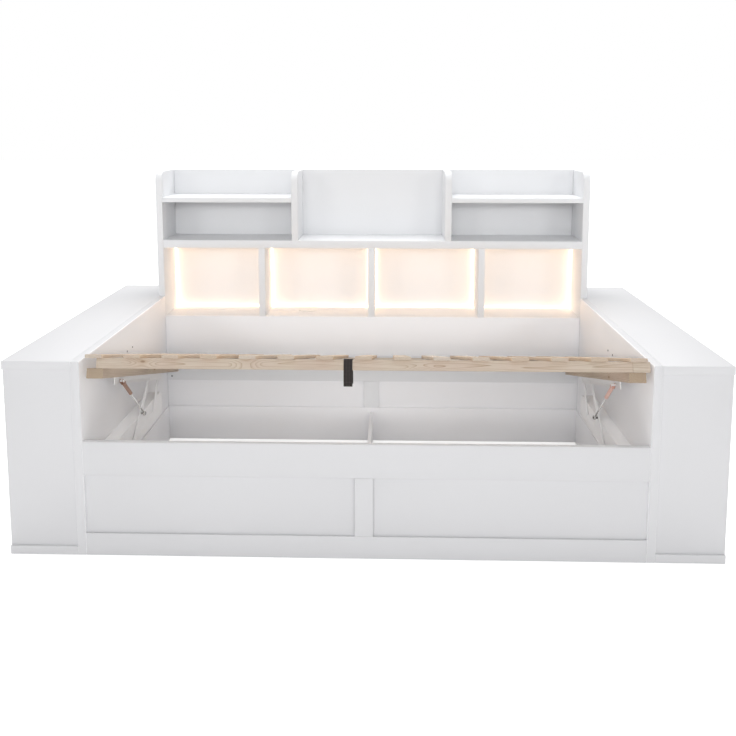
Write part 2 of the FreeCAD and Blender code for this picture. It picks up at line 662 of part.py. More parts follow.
def yz_body(name, x_low, pivot, turn):
    """A body whose own Y and Z lie in the side view, turned about X at a pivot."""
    body = doc.addObject("PartDesign::Body", name)
    place(body, x_low, pivot[0], pivot[1], turn)
    return body


def bar(name, side, x, pivot, turn, length, width, far_hole):
    """A flat link with round ends, a running hole at its foot and another at its far pivot."""
    low, high = mirrored(side, x, x + z["link_steel"])
    body = yz_body(name, low, pivot, turn)
    sketch = sketch_on(body, name + "_outline")
    slot(sketch, length, width / 2, "bar")
    circle(sketch, as_size(0), as_size(0), z["pin_radius"] + z["running_play"], "foot_hole")
    circle(sketch, length, as_size(0), far_hole, "far_hole")
    pad(body, sketch, high - low, name + "_pad")
    return body


def mechanism(side):
    """One lift linkage: base plate, rail bracket, two links and a gas spring."""
    steel = z["steel"]
    flange_x = mirrored(side, z["flange_plane"], z["flange_plane"] + steel)
    tray_x = mirrored(side, z["flange_plane"], z["flange_plane"] + z["bracket_flange"])
    rear_pin = on_platform(z["rear_pin_place"], -z["pin_drop"])

    bracket = yz_body(side + "_rail_bracket", flange_x[0], on_platform(as_size(0), as_size(0)), -z["lift_angle"])
    sketch = sketch_on(bracket, side + "_bracket_flange")
    start = z["bracket_start"]
    end = start + z["bracket_length"]
    outline(sketch, [(start, -z["bracket_drop"]), (end, -z["bracket_drop"]), (end, as_size(0)), (start, as_size(0))])
    circle(sketch, z["front_pin_place"], -z["pin_drop"], z["pin_radius"], "front_pin")
    circle(sketch, z["rear_pin_place"], -z["pin_drop"], z["pin_radius"], "rear_pin")
    circle(sketch, z["strut_pin_place"], -z["strut_pin_drop"], z["pin_radius"], "strut_pin")
    pad(bracket, sketch, steel, side + "_bracket_flange_pad")
    tray = sketch_on(bracket, side + "_bracket_tray")
    outline(tray, [(start, -steel), (end, -steel), (end, as_size(0)), (start, as_size(0))])
    offset = tray_x[0] - flange_x[0]
    pad(bracket, tray, z["bracket_flange"], side + "_bracket_tray_pad", start=offset)
    keep(bracket, side + "_rail_bracket")

    keep(bar(side + "_front_link", side, link_plane, front_pivot, z["front_link_angle"],
             z["front_link_length"], z["front_link_width"], z["pin_radius"] + z["running_play"]),
         side + "_front_link")

    across = rear_pin[0] - rear_pivot[0]
    rise = rear_pin[1] - rear_pivot[1]
    keep(bar(side + "_rear_link", side, link_plane, rear_pivot, angle_of(across, rise),
             length_of(across, rise), z["rear_link_width"], z["pin_radius"] + z["open_play"]),
         side + "_rear_link")

    base_plate(side)
    gas_spring(side)


def base_plate(side):
    """The long plate that carries both fixed pivots: a web stood off the wall on a ledge and a foot."""
    web_x = mirrored(side, plate_plane, plate_plane + z["link_steel"])
    body = yz_body(side + "_base_plate", web_x[0], (front + z["plate_start"], z["plate_base"]), as_size(0))
    length = z["plate_length"]
    height = z["plate_top"] - z["plate_base"]
    cut = z["plate_chamfer"]
    zero = as_size(0)
    sketch = sketch_on(body, side + "_web_outline")
    outline(sketch, [(zero, zero), (length, zero), (length, height - cut), (length - cut, height),
                     (cut, height), (zero, height - cut)])
    circle(sketch, front_pivot[0] - front - z["plate_start"], front_pivot[1] - z["plate_base"],
           z["pin_radius"], "front_pin")
    circle(sketch, rear_pivot[0] - front - z["plate_start"], rear_pivot[1] - z["plate_base"],
           z["pin_radius"], "rear_pin")
    pad(body, sketch, z["link_steel"], side + "_web_pad")
    depth = half_bay - plate_plane
    ledge = sketch_on(body, side + "_ledge_outline")
    outline(ledge, [(zero, -z["link_steel"]), (length, -z["link_steel"]), (length, zero), (zero, zero)])
    foot = sketch_on(body, side + "_foot_outline")
    base = -z["link_steel"] - z["plate_foot"]
    outline(foot, [(zero, base), (length, base), (length, -z["link_steel"]), (zero, -z["link_steel"])])
    if side == "right":
        pad(body, ledge, depth, side + "_ledge_pad")
        pad(body, foot, z["link_steel"], side + "_foot_pad", start=depth - z["link_steel"])
    else:
        pad(body, ledge, depth, side + "_ledge_pad", start=z["link_steel"] - depth)
        pad(body, foot, z["link_steel"], side + "_foot_pad", start=z["link_steel"] - depth)
    keep(body, side + "_base_plate")


def gas_spring(side):
    """Cylinder on the bracket's pin and rod on the front link's stud, in line with each other."""
    top = on_platform(z["strut_pin_place"], -z["strut_pin_drop"])
    foot = (front_pivot[0] + z["strut_link_place"] * cosine(z["front_link_angle"]),
            front_pivot[1] + z["strut_link_place"] * sine(z["front_link_angle"]))
    across = foot[0] - top[0]
    rise = foot[1] - top[1]
    slope = angle_of(across, rise)
    length = length_of(across, rise)
    middle = strut_plane if side == "right" else -strut_plane
    half_eye = z["eye_width"] / 2

    cylinder = yz_body(side + "_gas_cylinder", middle, top, slope)
    barrel = sketch_on(cylinder, side + "_barrel_outline", "XY_Plane")
    bore = z["rod_radius"] + z["rod_play"]
    start = z["eye_radius"]
    outline(barrel, [(bore, z["bore_start"]), (bore, z["cylinder_length"]),
                     (z["cylinder_radius"], z["cylinder_length"]), (z["cylinder_radius"], start),
                     (as_size(0), start), (as_size(0), z["bore_start"])])
    turned = cylinder.newObject("PartDesign::Revolution", side + "_barrel")
    turned.Profile = barrel
    turned.ReferenceAxis = (barrel, ["V_Axis"])
    turned.Angle = 360
    eye = sketch_on(cylinder, side + "_cylinder_eye_outline")
    slot(eye, start, z["cylinder_radius"], "eye")
    circle(eye, as_size(0), as_size(0), z["pin_radius"] + z["running_play"], "pin_hole")
    pad(cylinder, eye, z["eye_width"], side + "_cylinder_eye", start=-half_eye)
    keep(cylinder, side + "_gas_cylinder")

    rod = yz_body(side + "_gas_rod", middle, top, slope)
    shaft = sketch_on(rod, side + "_shaft_outline", "XZ_Plane")
    circle(shaft, as_size(0), as_size(0), z["rod_radius"], "shaft")
    stroke = length - z["eye_radius"] / 2 - z["cylinder_length"] + z["rod_hidden"]
    feature = pad(rod, shaft, stroke, side + "_shaft", start=-(z["cylinder_length"] - z["rod_hidden"]))
    feature.Reversed = True
    eye = sketch_on(rod, side + "_rod_eye_outline")
    circle(eye, length, as_size(0), z["eye_radius"], "eye")
    pad(rod, eye, z["eye_width"], side + "_rod_eye", start=-half_eye)
    head = sketch_on(rod, side + "_rod_head_outline")
    circle(head, length, as_size(0), z["head_radius"], "head")
    stub = sketch_on(rod, side + "_rod_stub_outline")
    circle(stub, length, as_size(0), z["pin_radius"], "stub")
    reach = link_plane - strut_plane - half_eye - z["seat_gap"]
    if side == "right":
        pad(rod, head, z["head_height"], side + "_rod_head", start=-half_eye - z["head_height"])
        pad(rod, stub, reach, side + "_rod_stub", start=half_eye)
    else:
        pad(rod, head, z["head_height"], side + "_rod_head", start=half_eye)
        pad(rod, stub, reach, side + "_rod_stub", start=-half_eye - reach)
    keep(rod, side + "_gas_rod")


def pin(name, x_low, x_high, head_side, point):
    """A pivot pin along X with a round head on one end."""
    body = doc.addObject("PartDesign::Body", name)
    shank = sketch_on(body, name + "_shank")
    circle(shank, as_size(0), as_size(0), z["pin_radius"], "shank")
    pad(body, shank, x_high - x_low, name + "_pad")
    head = sketch_on(body, name + "_head")
    circle(head, as_size(0), as_size(0), z["head_radius"], "head")
    start = -z["head_height"] if head_side == "low" else x_high - x_low
    pad(body, head, z["head_height"], name + "_head_pad", start=start)
    return place(body, x_low, point[0], point[1])


def pivot_pins():
    """Headed pins: two at each base plate, and three at each rail bracket, heads towards the bay."""
    base_pins = []
    bracket_pins = []
    for side in ("left", "right"):
        head = "low" if side == "right" else "high"
        low, high = mirrored(side, link_plane, plate_plane + z["link_steel"])
        for tag, point in (("front", front_pivot), ("rear", rear_pivot)):
            base_pins.append(pin("%s_%s_base_pin" % (side, tag), low, high, head, point))
        low, high = mirrored(side, z["flange_plane"], link_plane + z["link_steel"])
        for tag, along in (("front", z["front_pin_place"]), ("rear", z["rear_pin_place"])):
            point = on_platform(along, -z["pin_drop"])
            bracket_pins.append(pin("%s_%s_rail_pin" % (side, tag), low, high, head, point))
        low, high = mirrored(side, strut_plane - z["eye_width"] / 2, z["flange_plane"] + z["steel"])
        point = on_platform(z["strut_pin_place"], -z["strut_pin_drop"])
        bracket_pins.append(pin("%s_spring_pin" % side, low, high, head, point))
    group("base_pins", base_pins)
    group("bracket_pins", bracket_pins)


def screw_head(name, point, height, role="YZ_Plane"):
    """A screw's low round head, standing on a plane through a point."""
    body = doc.addObject("PartDesign::Body", name)
    sketch = sketch_on(body, name + "_head", role)
    circle(sketch, as_size(0), as_size(0), z["screw_radius"], "head")
    pad(body, sketch, height, name + "_pad")
    return place(body, *point)


def screws():
    """Screw heads in the arms' inner walls, the base plates' feet, the back's top rail and the rail brackets."""
    head = z["screw_head"]
    fixed = []
    rail = []
    for side in ("left", "right"):
        low = mirrored(side, half_bay - head, half_bay)[0]
        for i in range(2):
            point = (low, front + z["screw_front_place"] + z["screw_spacing"] * i, z["screw_height"])
            fixed.append(screw_head("%s_wall_screw_%d" % (side, i + 1), point, head))
        outer = half_bay - z["link_steel"]
        low = mirrored(side, outer - head, outer)[0]
        pitch = z["plate_length"] / SCREW_COUNT
        height = z["plate_base"] - z["link_steel"] - z["plate_foot"] / 2
        for i in range(SCREW_COUNT):
            point = (low, front + z["plate_start"] + pitch * (i + 0.5), height)
            fixed.append(screw_head("%s_plate_screw_%d" % (side, i + 1), point, head))
        pitch = z["bracket_length"] / SCREW_COUNT
        middle = z["side_rail_reach"] - z["rail_width"] / 3
        x = mirrored(side, middle - z["screw_radius"], middle + z["screw_radius"])
        for i in range(SCREW_COUNT):
            along = z["bracket_start"] + pitch * (i + 0.5)
            rail.append(platform_box("%s_rail_screw_%d" % (side, i + 1), x,
                                     (along - z["screw_radius"], along + z["screw_radius"]),
                                     (-z["steel"] - head, -z["steel"])))
    point = (z["back_screw_side"] - half_bay, bookcase_front, z["back_panel_top"] + z["back_screw_rise"])
    fixed.append(screw_head("back_rail_screw", point, head, "XZ_Plane"))
    group("cabinet_screws", fixed)
    group("bracket_screws", rail)


def check_and_write():
    doc.recompute()
    for obj in doc.Objects:
        bad = [word for word in obj.State if word in ("Invalid", "Error")]
        if bad:
            raise RuntimeError("%s is %s" % (obj.Label, bad))
    os.makedirs("parts", exist_ok=True)
    faces = 0
    for name, obj in parts.items():
        shape = obj.Shape
        if shape.isNull() or not shape.isValid() or not shape.Solids:
            raise RuntimeError("%s has no valid solid" % name)
        faces += len(shape.Faces)
        shape.exportStep("parts/%s.step" % name)
    print("%d sub-parts, %d faces" % (len(parts), faces))


for arm_side in ("left", "right"):
    arm(arm_side)
    arm_inner_side(arm_side)
bookcase()
light_strips()
grommet()
back_wall()
front_panel()
storage()
platform()
strap()
for mechanism_side in ("left", "right"):
    mechanism(mechanism_side)
pivot_pins()
screws()
check_and_write()
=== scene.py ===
import bpy
import json
import math
from mathutils import Matrix, Vector


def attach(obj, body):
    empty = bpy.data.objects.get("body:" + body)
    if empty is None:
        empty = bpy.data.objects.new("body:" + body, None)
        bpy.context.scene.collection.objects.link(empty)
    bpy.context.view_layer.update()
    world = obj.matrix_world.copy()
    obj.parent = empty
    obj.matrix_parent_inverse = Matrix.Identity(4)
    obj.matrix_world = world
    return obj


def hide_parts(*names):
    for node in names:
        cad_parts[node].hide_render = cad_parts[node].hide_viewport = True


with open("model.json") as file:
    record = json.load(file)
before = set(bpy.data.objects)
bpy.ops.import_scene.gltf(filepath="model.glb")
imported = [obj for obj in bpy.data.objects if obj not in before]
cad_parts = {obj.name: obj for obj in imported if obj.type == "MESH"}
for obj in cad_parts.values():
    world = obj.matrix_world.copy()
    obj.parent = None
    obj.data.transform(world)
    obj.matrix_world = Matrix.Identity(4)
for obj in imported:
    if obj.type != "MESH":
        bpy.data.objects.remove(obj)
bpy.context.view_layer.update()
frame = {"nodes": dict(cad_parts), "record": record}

bl_info = {
    "name": "Storage Daybed",
    "version": (1, 0, 0),
    "blender": (4, 5, 0),
    "location": "3D View > Sidebar > Daybed",
    "description": "Dresses the storage daybed: boards, pine platform, lift steel and niche lights",
    "category": "Add Mesh",
}

ORIGIN = (0.0, 0.0, 0.0)
UPWARD = (0.0, 0.0, 1.0)
# Points closer than this are one point, and faces that turn less than this are one flat.
MERGE_GAP = 0.00001
FLAT_ANGLE = math.radians(0.5)
# Edges that turn more than this are rounded, in this many steps.
SHARP_ANGLE = math.radians(35)
EDGE_SEGMENTS = 2
# Faces of a softened piece that turn less than this shade as one surface.
SMOOTH_ANGLE = math.radians(30)

BODIES = frame["record"]["behaviour"]["bodies"]
NODE_BODY = {node: body for body, nodes in BODIES.items() for node in nodes}

# The platform is shown raised: its battens fall towards the back by this tilt from its lower front edge.
LIFT_TILT = math.radians(15.9)
PLATFORM_CORNER = (-0.66463, 0.63515)
SLAT_PITCH = 0.13014
SLAT_COUNT = 15

# Pieces of pine: which way their grain runs, and the middle of their section across it and in depth.
PINE = {
    "left_side_rail": ("along", -0.9115, 0.0170),
    "right_side_rail": ("along", 0.9115, 0.0170),
    "slats": ("along", 0.0, 0.0750),
    "front_rail": ("across", 0.0285, 0.0515),
    "front_rail_end_block": ("across", 0.0285, 0.0515),
    "middle_rail": ("across", 0.4985, 0.0515),
    "back_rail": ("across", 0.9690, 0.0515),
}
STEEL = ["left_rail_bracket", "right_rail_bracket", "left_base_plate", "right_base_plate",
         "left_front_link", "right_front_link", "left_rear_link", "right_rear_link"]
PINS = ["base_pins", "bracket_pins"]
SCREWS = ["cabinet_screws", "bracket_screws"]
GROMMET = ["grommet_ring", "grommet_cap"]
GROMMET_EDGE = 0.0008
FRONTS = ("arm_top", "arm_bottom", "arm_front_panel", "arm_back_panel", "arm_shelves", "arm_partitions",
          "front_top_rail", "front_bottom_rail", "front_centre_stile", "front_panels")
# Melamine boards whose edges are taped in the lacquer's tone, and those in the bookcase's greyer white. Both
# melamine whites are paler than the lacquer: painted light in the shaded well, arms' inner sides and
# bookcase.
TAPED = ("arm_inner_side",)
BOOKCASE = ("bookcase_back_panel", "bookcase_side", "long_shelf", "top_shelves", "upper_dividers",
            "lit_row_floor", "lit_row_dividers", "back_top_rail", "back_centre_stile")


# Colour and node helpers.

def linear(hex_colour):
    """An sRGB hex colour as linear RGBA."""
    channels = [int(hex_colour[i:i + 2], 16) / 255 for i in (1, 3, 5)]
    return tuple(c / 12.92 if c <= 0.04045 else ((c + 0.055) / 1.055) ** 2.4 for c in channels) + (1.0,)


def add(material, kind, inputs=None, **settings):
    """Adds a node of a kind to a material, with its settings and its linked or plain inputs."""
    node = material.node_tree.nodes.new("ShaderNode" + kind)
    for name, value in settings.items():
        setattr(node, name, value)
    for key, value in (inputs or {}).items():
        if isinstance(value, bpy.types.NodeSocket):
            material.node_tree.links.new(value, node.inputs[key])
        else:
            node.inputs[key].default_value = value
    return node


def new_material(name):
    """An empty node material with its Principled shader."""
    material = bpy.data.materials.new(name)
    material.use_nodes = True
    shader = material.node_tree.nodes["Principled BSDF"]
    return material, shader


def ramp(material, factor, stops):
    """A colour ramp over hex colours at given places."""
    node = add(material, "ValToRGB", {"Fac": factor})
    elements = node.color_ramp.elements
    while len(elements) < len(stops):
        elements.new(0.5)
    for element, (place, colour) in zip(elements, stops):
        element.position = place
        element.color = linear(colour)
    return node.outputs["Color"]


def feed(shader, name, source):
    """Links a socket to one of a shader's inputs."""
    shader.id_data.links.new(source, shader.inputs[name])


def shade(hex_colour, share):
    """A hex colour darkened to a share of its light, as linear RGBA."""
    return tuple(c * share for c in linear(hex_colour)[:3]) + (1.0,)


def blend(material, factor, first, second, mode="MIX"):
    """Two colours mixed by a factor."""
    return add(material, "Mix", {"Factor": factor, "A": first, "B": second},
               data_type="RGBA", blend_type=mode).outputs[2]


def sums(material, operation, *values):
    """One step of arithmetic on numbers."""
    return add(material, "Math", dict(enumerate(values)), operation=operation).outputs[0]


def object_place(material):
    """Places in metres in the object's own frame."""
    return add(material, "TexCoord").outputs["Object"]


def as_vector(material, x, y, z=0.0):
    """Three numbers as one vector."""
    return add(material, "CombineXYZ", {"X": x, "Y": y, "Z": z}).outputs[0]


def vary(material, factor, colour, share):
    """A hex colour that goes from a share of its light to the whole of it by a factor."""
    return blend(material, factor, shade(colour, share), linear(colour))


def reach(material, vector):
    """Length of a vector."""
    return add(material, "VectorMath", {0: vector}, operation="LENGTH").outputs["Value"]


def noise(material, place, size, detail):
    """Soft noise whose lumps have a size in metres."""
    return add(material, "TexNoise", {"Vector": place, "Scale": 1 / size, "Detail": detail}).outputs["Fac"]


def span(material, value, low, high, start=0.0, end=1.0, **settings):
    """A value carried from its own range, start to end, to another, low to high."""
    places = {"Value": value, "From Min": start, "From Max": end, "To Min": low, "To Max": high}
    return add(material, "MapRange", places, **settings).outputs["Result"]


def facing(material, axis):
    """How squarely a face looks along one of the object's axes, from nought to one."""
    normal = add(material, "TexCoord").outputs["Normal"]
    return sums(material, "ABSOLUTE", add(material, "SeparateXYZ", {"Vector": normal}).outputs[axis])


def bands(material, place, step, direction, distortion=0.0):
    """Even bands, each 2 pi times the step wide along X or Y, in metres."""
    # A wave at scale one turns by 20 radians in a metre.
    return add(material, "TexWave", {"Vector": place, "Scale": 1 / step / 20, "Distortion": distortion},
               wave_type="BANDS", bands_direction=direction).outputs["Fac"]


def emboss(material, shader, height, strength, depth):
    """Raises a pattern on a shader's surface."""
    bump = add(material, "Bump", {"Height": height, "Strength": strength, "Distance": depth})
    feed(shader, "Normal", bump.outputs["Normal"])


# Materials. Every pattern has its real size in metres.

def sprayed_lacquer(name, colour):
    """White satin lacquer sprayed on board: even and pale, with a faint orange peel and a soft gloss."""
    material, shader = new_material(name)
    place = object_place(material)
    # Batches of lacquer drift in tone over about 350 mm, and the orange peel is about 3 mm across.
    drift = noise(material, place, size=0.35, detail=2.0)
    peel = noise(material, place, size=0.003, detail=1.0)
    feed(shader, "Base Color", vary(material, drift, colour, 0.975))
    emboss(material, shader, peel, strength=0.05, depth=0.0004)
    feed(shader, "Roughness", span(material, drift, 0.40, 0.48))
    shader.inputs["IOR"].default_value = 1.47
    shader.inputs["Specular IOR Level"].default_value = 0.4
    return material


def pressed_melamine(name, colour, tape=None):
    """White melamine paper pressed on chipboard, dull, in a white that is paler than the lacquer as painted
    light; an upright board's edges may carry a tape.
    """
    material, shader = new_material(name)
    place = object_place(material)
    # The press plate's pearl grain is under 1 mm across; the paper's tone drifts over about 250 mm.
    drift = noise(material, place, size=0.25, detail=1.0)
    pearl = add(material, "TexVoronoi", {"Vector": place, "Scale": 1 / 0.0009},
                feature="SMOOTH_F1").outputs["Distance"]
    tone = vary(material, drift, colour, 0.982)
    if tape:
        on_edge = sums(material, "LESS_THAN", facing(material, "X"), 0.5)
        tone = blend(material, on_edge, tone, linear(tape))
    feed(shader, "Base Color", tone)
    emboss(material, shader, pearl, strength=0.08, depth=0.0002)
    feed(shader, "Roughness", span(material, pearl, 0.50, 0.60))
    shader.inputs["IOR"].default_value = 1.5
    shader.inputs["Specular IOR Level"].default_value = 0.35
    return material


PINE_TONES = {"early": "#dfd4c7", "late": "#cdbdab", "ring_end": "#b39f89", "fibre": "#c8b8a4",
              "yellow_patch": "#fffcf6", "pink_patch": "#fdf5f0",
              "pale_lot": "#ffffff", "dark_lot": "#f6ece2",
              # The cool face tone, which the slats' sides are spared, and the rail end tone are painted
              # shade.
              "knot": "#8f7763", "knot_rim": "#b7a28c", "cool_face_tone": "#ebf1f9", "rail_end": "#dfdcd3"}
# Knots as (place along, height, size). Rings swell out round each, and size nought is only a swirl.
PINE_KNOTS = {"front_rail": [(-0.749, 0.058, 0.0035), (-0.397, 0.050, 0.0), (0.190, 0.036, 0.0)],
              "left_side_rail": [(0.610, 0.020, 0.0045)], "right_side_rail": [(0.255, 0.012, 0.0040)],
              "middle_rail": [(-0.240, 0.050, 0.0050)], "back_rail": [(0.330, 0.055, 0.0045)]}
FIRST_SEED = 3.1
SEED_STEP = 17.0
RING_STEP = 0.0040
# Where the tree's heart lies from a plank's middle: beside it and below it.
HEART_SIDE = (-0.012, 0.012)
HEART_DEPTH = (0.030, 0.046)
# How far a knot bends the rings out, up to which distance, and its shape's squeeze along the plank.
SWELL_RISE = 0.011
SWELL_REACH = 0.030
KNOT_SQUEEZE = 0.45
# Most of a soft noise lies between these two values.
NOISE_MIDST = (0.3, 0.7)
# Fibres and patches of sapwood are drawn out along the grain: their breadth over their length.
FIBRE_STRETCH = 0.04
PATCH_STRETCH = 0.3
RING_WOBBLE = 0.0035
# How far apart in the tree two battens may be cut, and the gap between two noises that must differ.
LOT_SPREAD = 7.0
NOISE_SPREAD = 31.7


def raw_pine(node, seed):
    """Planed, unfinished pine: pale straw wood with soft summer rings, fine fibres and a few small knots."""
    material, shader = new_material("planed_pine_" + node)
    run, wide_middle, depth_middle = PINE[node]
    start = (PLATFORM_CORNER[0] * math.cos(LIFT_TILT) - PLATFORM_CORNER[1] * math.sin(LIFT_TILT),
             PLATFORM_CORNER[0] * math.sin(LIFT_TILT) + PLATFORM_CORNER[1] * math.cos(LIFT_TILT))
    level = add(material, "Mapping", {"Vector": object_place(material), "Rotation": (LIFT_TILT, 0.0, 0.0),
                                      "Location": (0.0, -start[0], -start[1])}).outputs["Vector"]
    axes = add(material, "SeparateXYZ", {"Vector": level})
    x, y, level_depth = axes.outputs["X"], axes.outputs["Y"], axes.outputs["Z"]
    wide, along = (y, x) if run == "across" else (x, y)
    depth = sums(material, "SUBTRACT", level_depth, depth_middle)
    if node == "slats":
        number = sums(material, "ROUND", sums(material, "DIVIDE", wide, SLAT_PITCH))
        wide = sums(material, "SUBTRACT", wide, sums(material, "MULTIPLY", number, SLAT_PITCH))
        key = sums(material, "ADD", number, seed)
    else:
        wide = sums(material, "SUBTRACT", wide, wide_middle)
        key = sums(material, "MULTIPLY_ADD", along, 0.0, seed)
    lot = add(material, "TexWhiteNoise", {"W": key}, noise_dimensions="1D").outputs["Value"]
    shift = sums(material, "MULTIPLY_ADD", lot, LOT_SPREAD, along)

    # The tree's heart lies beside the plank and wanders along it, which turns straight rings into arches.
    walk = as_vector(material, shift, key)
    wander = noise(material, walk, size=0.60, detail=1.0)
    elsewhere = add(material, "VectorMath", {0: walk, 1: (NOISE_SPREAD,) * 3}, operation="ADD").outputs[0]
    bow = noise(material, elsewhere, size=0.70, detail=1.0)
    side = span(material, wander, *HEART_SIDE, *NOISE_MIDST)
    below = span(material, bow, *HEART_DEPTH, *NOISE_MIDST)
    face, edge = (depth, wide) if run == "across" else (wide, depth)
    face_gap = sums(material, "SUBTRACT", face, side)
    radius = reach(material, as_vector(material, face_gap, sums(material, "ADD", edge, below)))

    # Knots, longer along the plank, push the rings out round them.
    spots = []
    for knot_along, knot_depth, knot_size in PINE_KNOTS.get(node, []):
        gap = sums(material, "MULTIPLY", sums(material, "SUBTRACT", along, knot_along), KNOT_SQUEEZE)
        rise = sums(material, "SUBTRACT", level_depth, knot_depth)
        away = reach(material, as_vector(material, gap, rise))
        swell = span(material, away, SWELL_RISE, 0.0, 0.0, SWELL_REACH, interpolation_type="SMOOTHSTEP")
        radius = sums(material, "ADD", radius, swell)
        if knot_size:
            spots.append((away, knot_size))

    # Fibres are 1.6 mm wide and 25 times as long; rings are 4 mm apart and wobble by about 1 mm.
    thread = as_vector(material, wide, sums(material, "MULTIPLY", shift, FIBRE_STRETCH), depth)
    fibre = noise(material, thread, size=0.0016, detail=3.0)
    wobble = noise(material, thread, size=0.014, detail=2.0)
    bent = sums(material, "MULTIPLY_ADD", wobble, RING_WOBBLE, radius)
    ring = sums(material, "FRACT", sums(material, "DIVIDE", bent, RING_STEP))
    body = ramp(material, ring, [(0.0, PINE_TONES["early"]), (0.5, PINE_TONES["early"]),
                                 (0.88, PINE_TONES["late"]), (0.97, PINE_TONES["ring_end"]),
                                 (1.0, PINE_TONES["early"])])
    fibres = blend(material, span(material, fibre, 0.0, 0.35, 0.38, 0.72), body, linear(PINE_TONES["fibre"]))

    # Sapwood patches lean yellow or pink over about 130 mm, and each batten has its own tone.
    patch_map = as_vector(material, wide, sums(material, "MULTIPLY", shift, PATCH_STRETCH), key)
    patch = noise(material, patch_map, size=0.04, detail=2.0)
    patch_tint = ramp(material, patch, [(0.35, PINE_TONES["yellow_patch"]), (0.65, PINE_TONES["pink_patch"])])
    lot_tint = ramp(material, lot, [(0.0, PINE_TONES["pale_lot"]), (1.0, PINE_TONES["dark_lot"])])
    tinted = blend(material, 1.0, fibres, patch_tint, "MULTIPLY")
    tinted = blend(material, 1.0, tinted, lot_tint, "MULTIPLY")

    # Every face but the slats' narrow sides takes a cool grey tone, so the slats' sides show the warmer tone
    # that the shade between slats has: painted shade. The side rails' ends are painted darker as shade.
    greyed = blend(material, 1.0, tinted, linear(PINE_TONES["cool_face_tone"]), "MULTIPLY")
    if node == "slats":
        sideways = sums(material, "GREATER_THAN", facing(material, "X"), 0.5)
        tinted = blend(material, sideways, greyed, tinted)
    elif run == "along":
        endways = sums(material, "GREATER_THAN", facing(material, "Y"), 0.5)
        painted_end_shade = blend(material, 1.0, greyed, linear(PINE_TONES["rail_end"]), "MULTIPLY")
        tinted = blend(material, endways, greyed, painted_end_shade)
    else:
        tinted = greyed

    # Each pin knot has a darker rim of wood.
    for away, knot_size in spots:
        rim = span(material, away, 0.7, 0.0, knot_size, knot_size * 3.5)
        core = span(material, away, 0.9, 0.0, knot_size * 0.6, knot_size * 1.3)
        tinted = blend(material, rim, tinted, linear(PINE_TONES["knot_rim"]))
        tinted = blend(material, core, tinted, linear(PINE_TONES["knot"]))
    feed(shader, "Base Color", tinted)
    feed(shader, "Roughness", span(material, fibre, 0.62, 0.8))
    relief = sums(material, "MULTIPLY_ADD", ring, 0.3, fibre)
    emboss(material, shader, relief, strength=0.25, depth=0.0004)
    shader.inputs["Specular IOR Level"].default_value = 0.25
    return material


def powder_coat(name, colour):
    """Powder-coated sheet steel: off-white, slightly pebbled and half glossy."""
    material, shader = new_material(name)
    place = object_place(material)
    # Powder flows out to pebbles about 1.5 mm across; the film's tone clouds over about 80 mm.
    pebble = noise(material, place, size=0.0015, detail=2.0)
    cloud = noise(material, place, size=0.08, detail=2.0)
    feed(shader, "Base Color", vary(material, cloud, colour, 0.95))
    emboss(material, shader, pebble, strength=0.15, depth=0.0003)
    feed(shader, "Roughness", span(material, pebble, 0.30, 0.42))
    return material


def metal(name, colour, low, high, grain):
    """Bare or plated metal: its sheen breaks up with fine working marks of a given grain."""
    material, shader = new_material(name)
    marks = noise(material, object_place(material), size=grain, detail=3.0)
    shader.inputs["Metallic"].default_value = 1.0
    feed(shader, "Base Color", vary(material, marks, colour, 0.8))
    feed(shader, "Roughness", span(material, marks, low, high))
    return material


def cylinder_lacquer(name, colour):
    """Lacquered steel tube: smooth and half glossy, with a faint drift in tone."""
    material, shader = new_material(name)
    drift = noise(material, object_place(material), size=0.02, detail=2.0)
    feed(shader, "Base Color", vary(material, drift, colour, 0.88))
    feed(shader, "Roughness", span(material, drift, 0.34, 0.46))
    return material


def moulded_abs(name, colour):
    """Moulded white ABS: even, with a fine spark-eroded texture and a soft gloss."""
    material, shader = new_material(name)
    grain = noise(material, object_place(material), size=0.0008, detail=2.0)
    feed(shader, "Base Color", vary(material, grain, colour, 0.96))
    emboss(material, shader, grain, strength=0.12, depth=0.0002)
    feed(shader, "Roughness", span(material, grain, 0.42, 0.52))
    shader.inputs["IOR"].default_value = 1.54
    return material


def woven_nylon(name, colour):
    """Black nylon webbing: broad warp ribs crossed by fainter weft ribs, with a dull sheen."""
    material, shader = new_material(name)
    run = add(material, "UVMap", uv_map="run").outputs["UV"]
    # The map is in metres. Warp ribs lie about 9.4 mm apart, and weft ribs about 12 mm.
    warp = bands(material, run, 0.0015, "X")
    weft = bands(material, run, 0.0019, "Y")
    weave = sums(material, "MULTIPLY", warp, sums(material, "MULTIPLY_ADD", weft, 0.45, 0.55))
    fuzz = noise(material, run, size=0.004, detail=2.0)
    woven = vary(material, weave, colour, 0.6)
    worn = blend(material, sums(material, "MULTIPLY", fuzz, 0.25), woven, shade(colour, 1.35))
    feed(shader, "Base Color", worn)
    emboss(material, shader, weave, strength=0.5, depth=0.0005)
    shader.inputs["Roughness"].default_value = 0.82
    shader.inputs["Sheen Weight"].default_value = 0.05
    shader.inputs["Specular IOR Level"].default_value = 0.2
    return material


def woven_thread(name, colour):
    """Bonded nylon sewing thread: dark grey, its tone drifting along the seams, with a faint gloss."""
    material, shader = new_material(name)
    drift = bands(material, object_place(material), 0.0005, "DIAGONAL", 0.5)
    feed(shader, "Base Color", vary(material, drift, colour, 0.7))
    shader.inputs["Roughness"].default_value = 0.6
    return material


# The strips' colour as the lens sees it, their own plastic, and the share of light from their sides.
GLOW_SEEN = "#fffae6"
DIFFUSER_PLASTIC = "#f6efe2"
SIDE_SHARE = 0.35


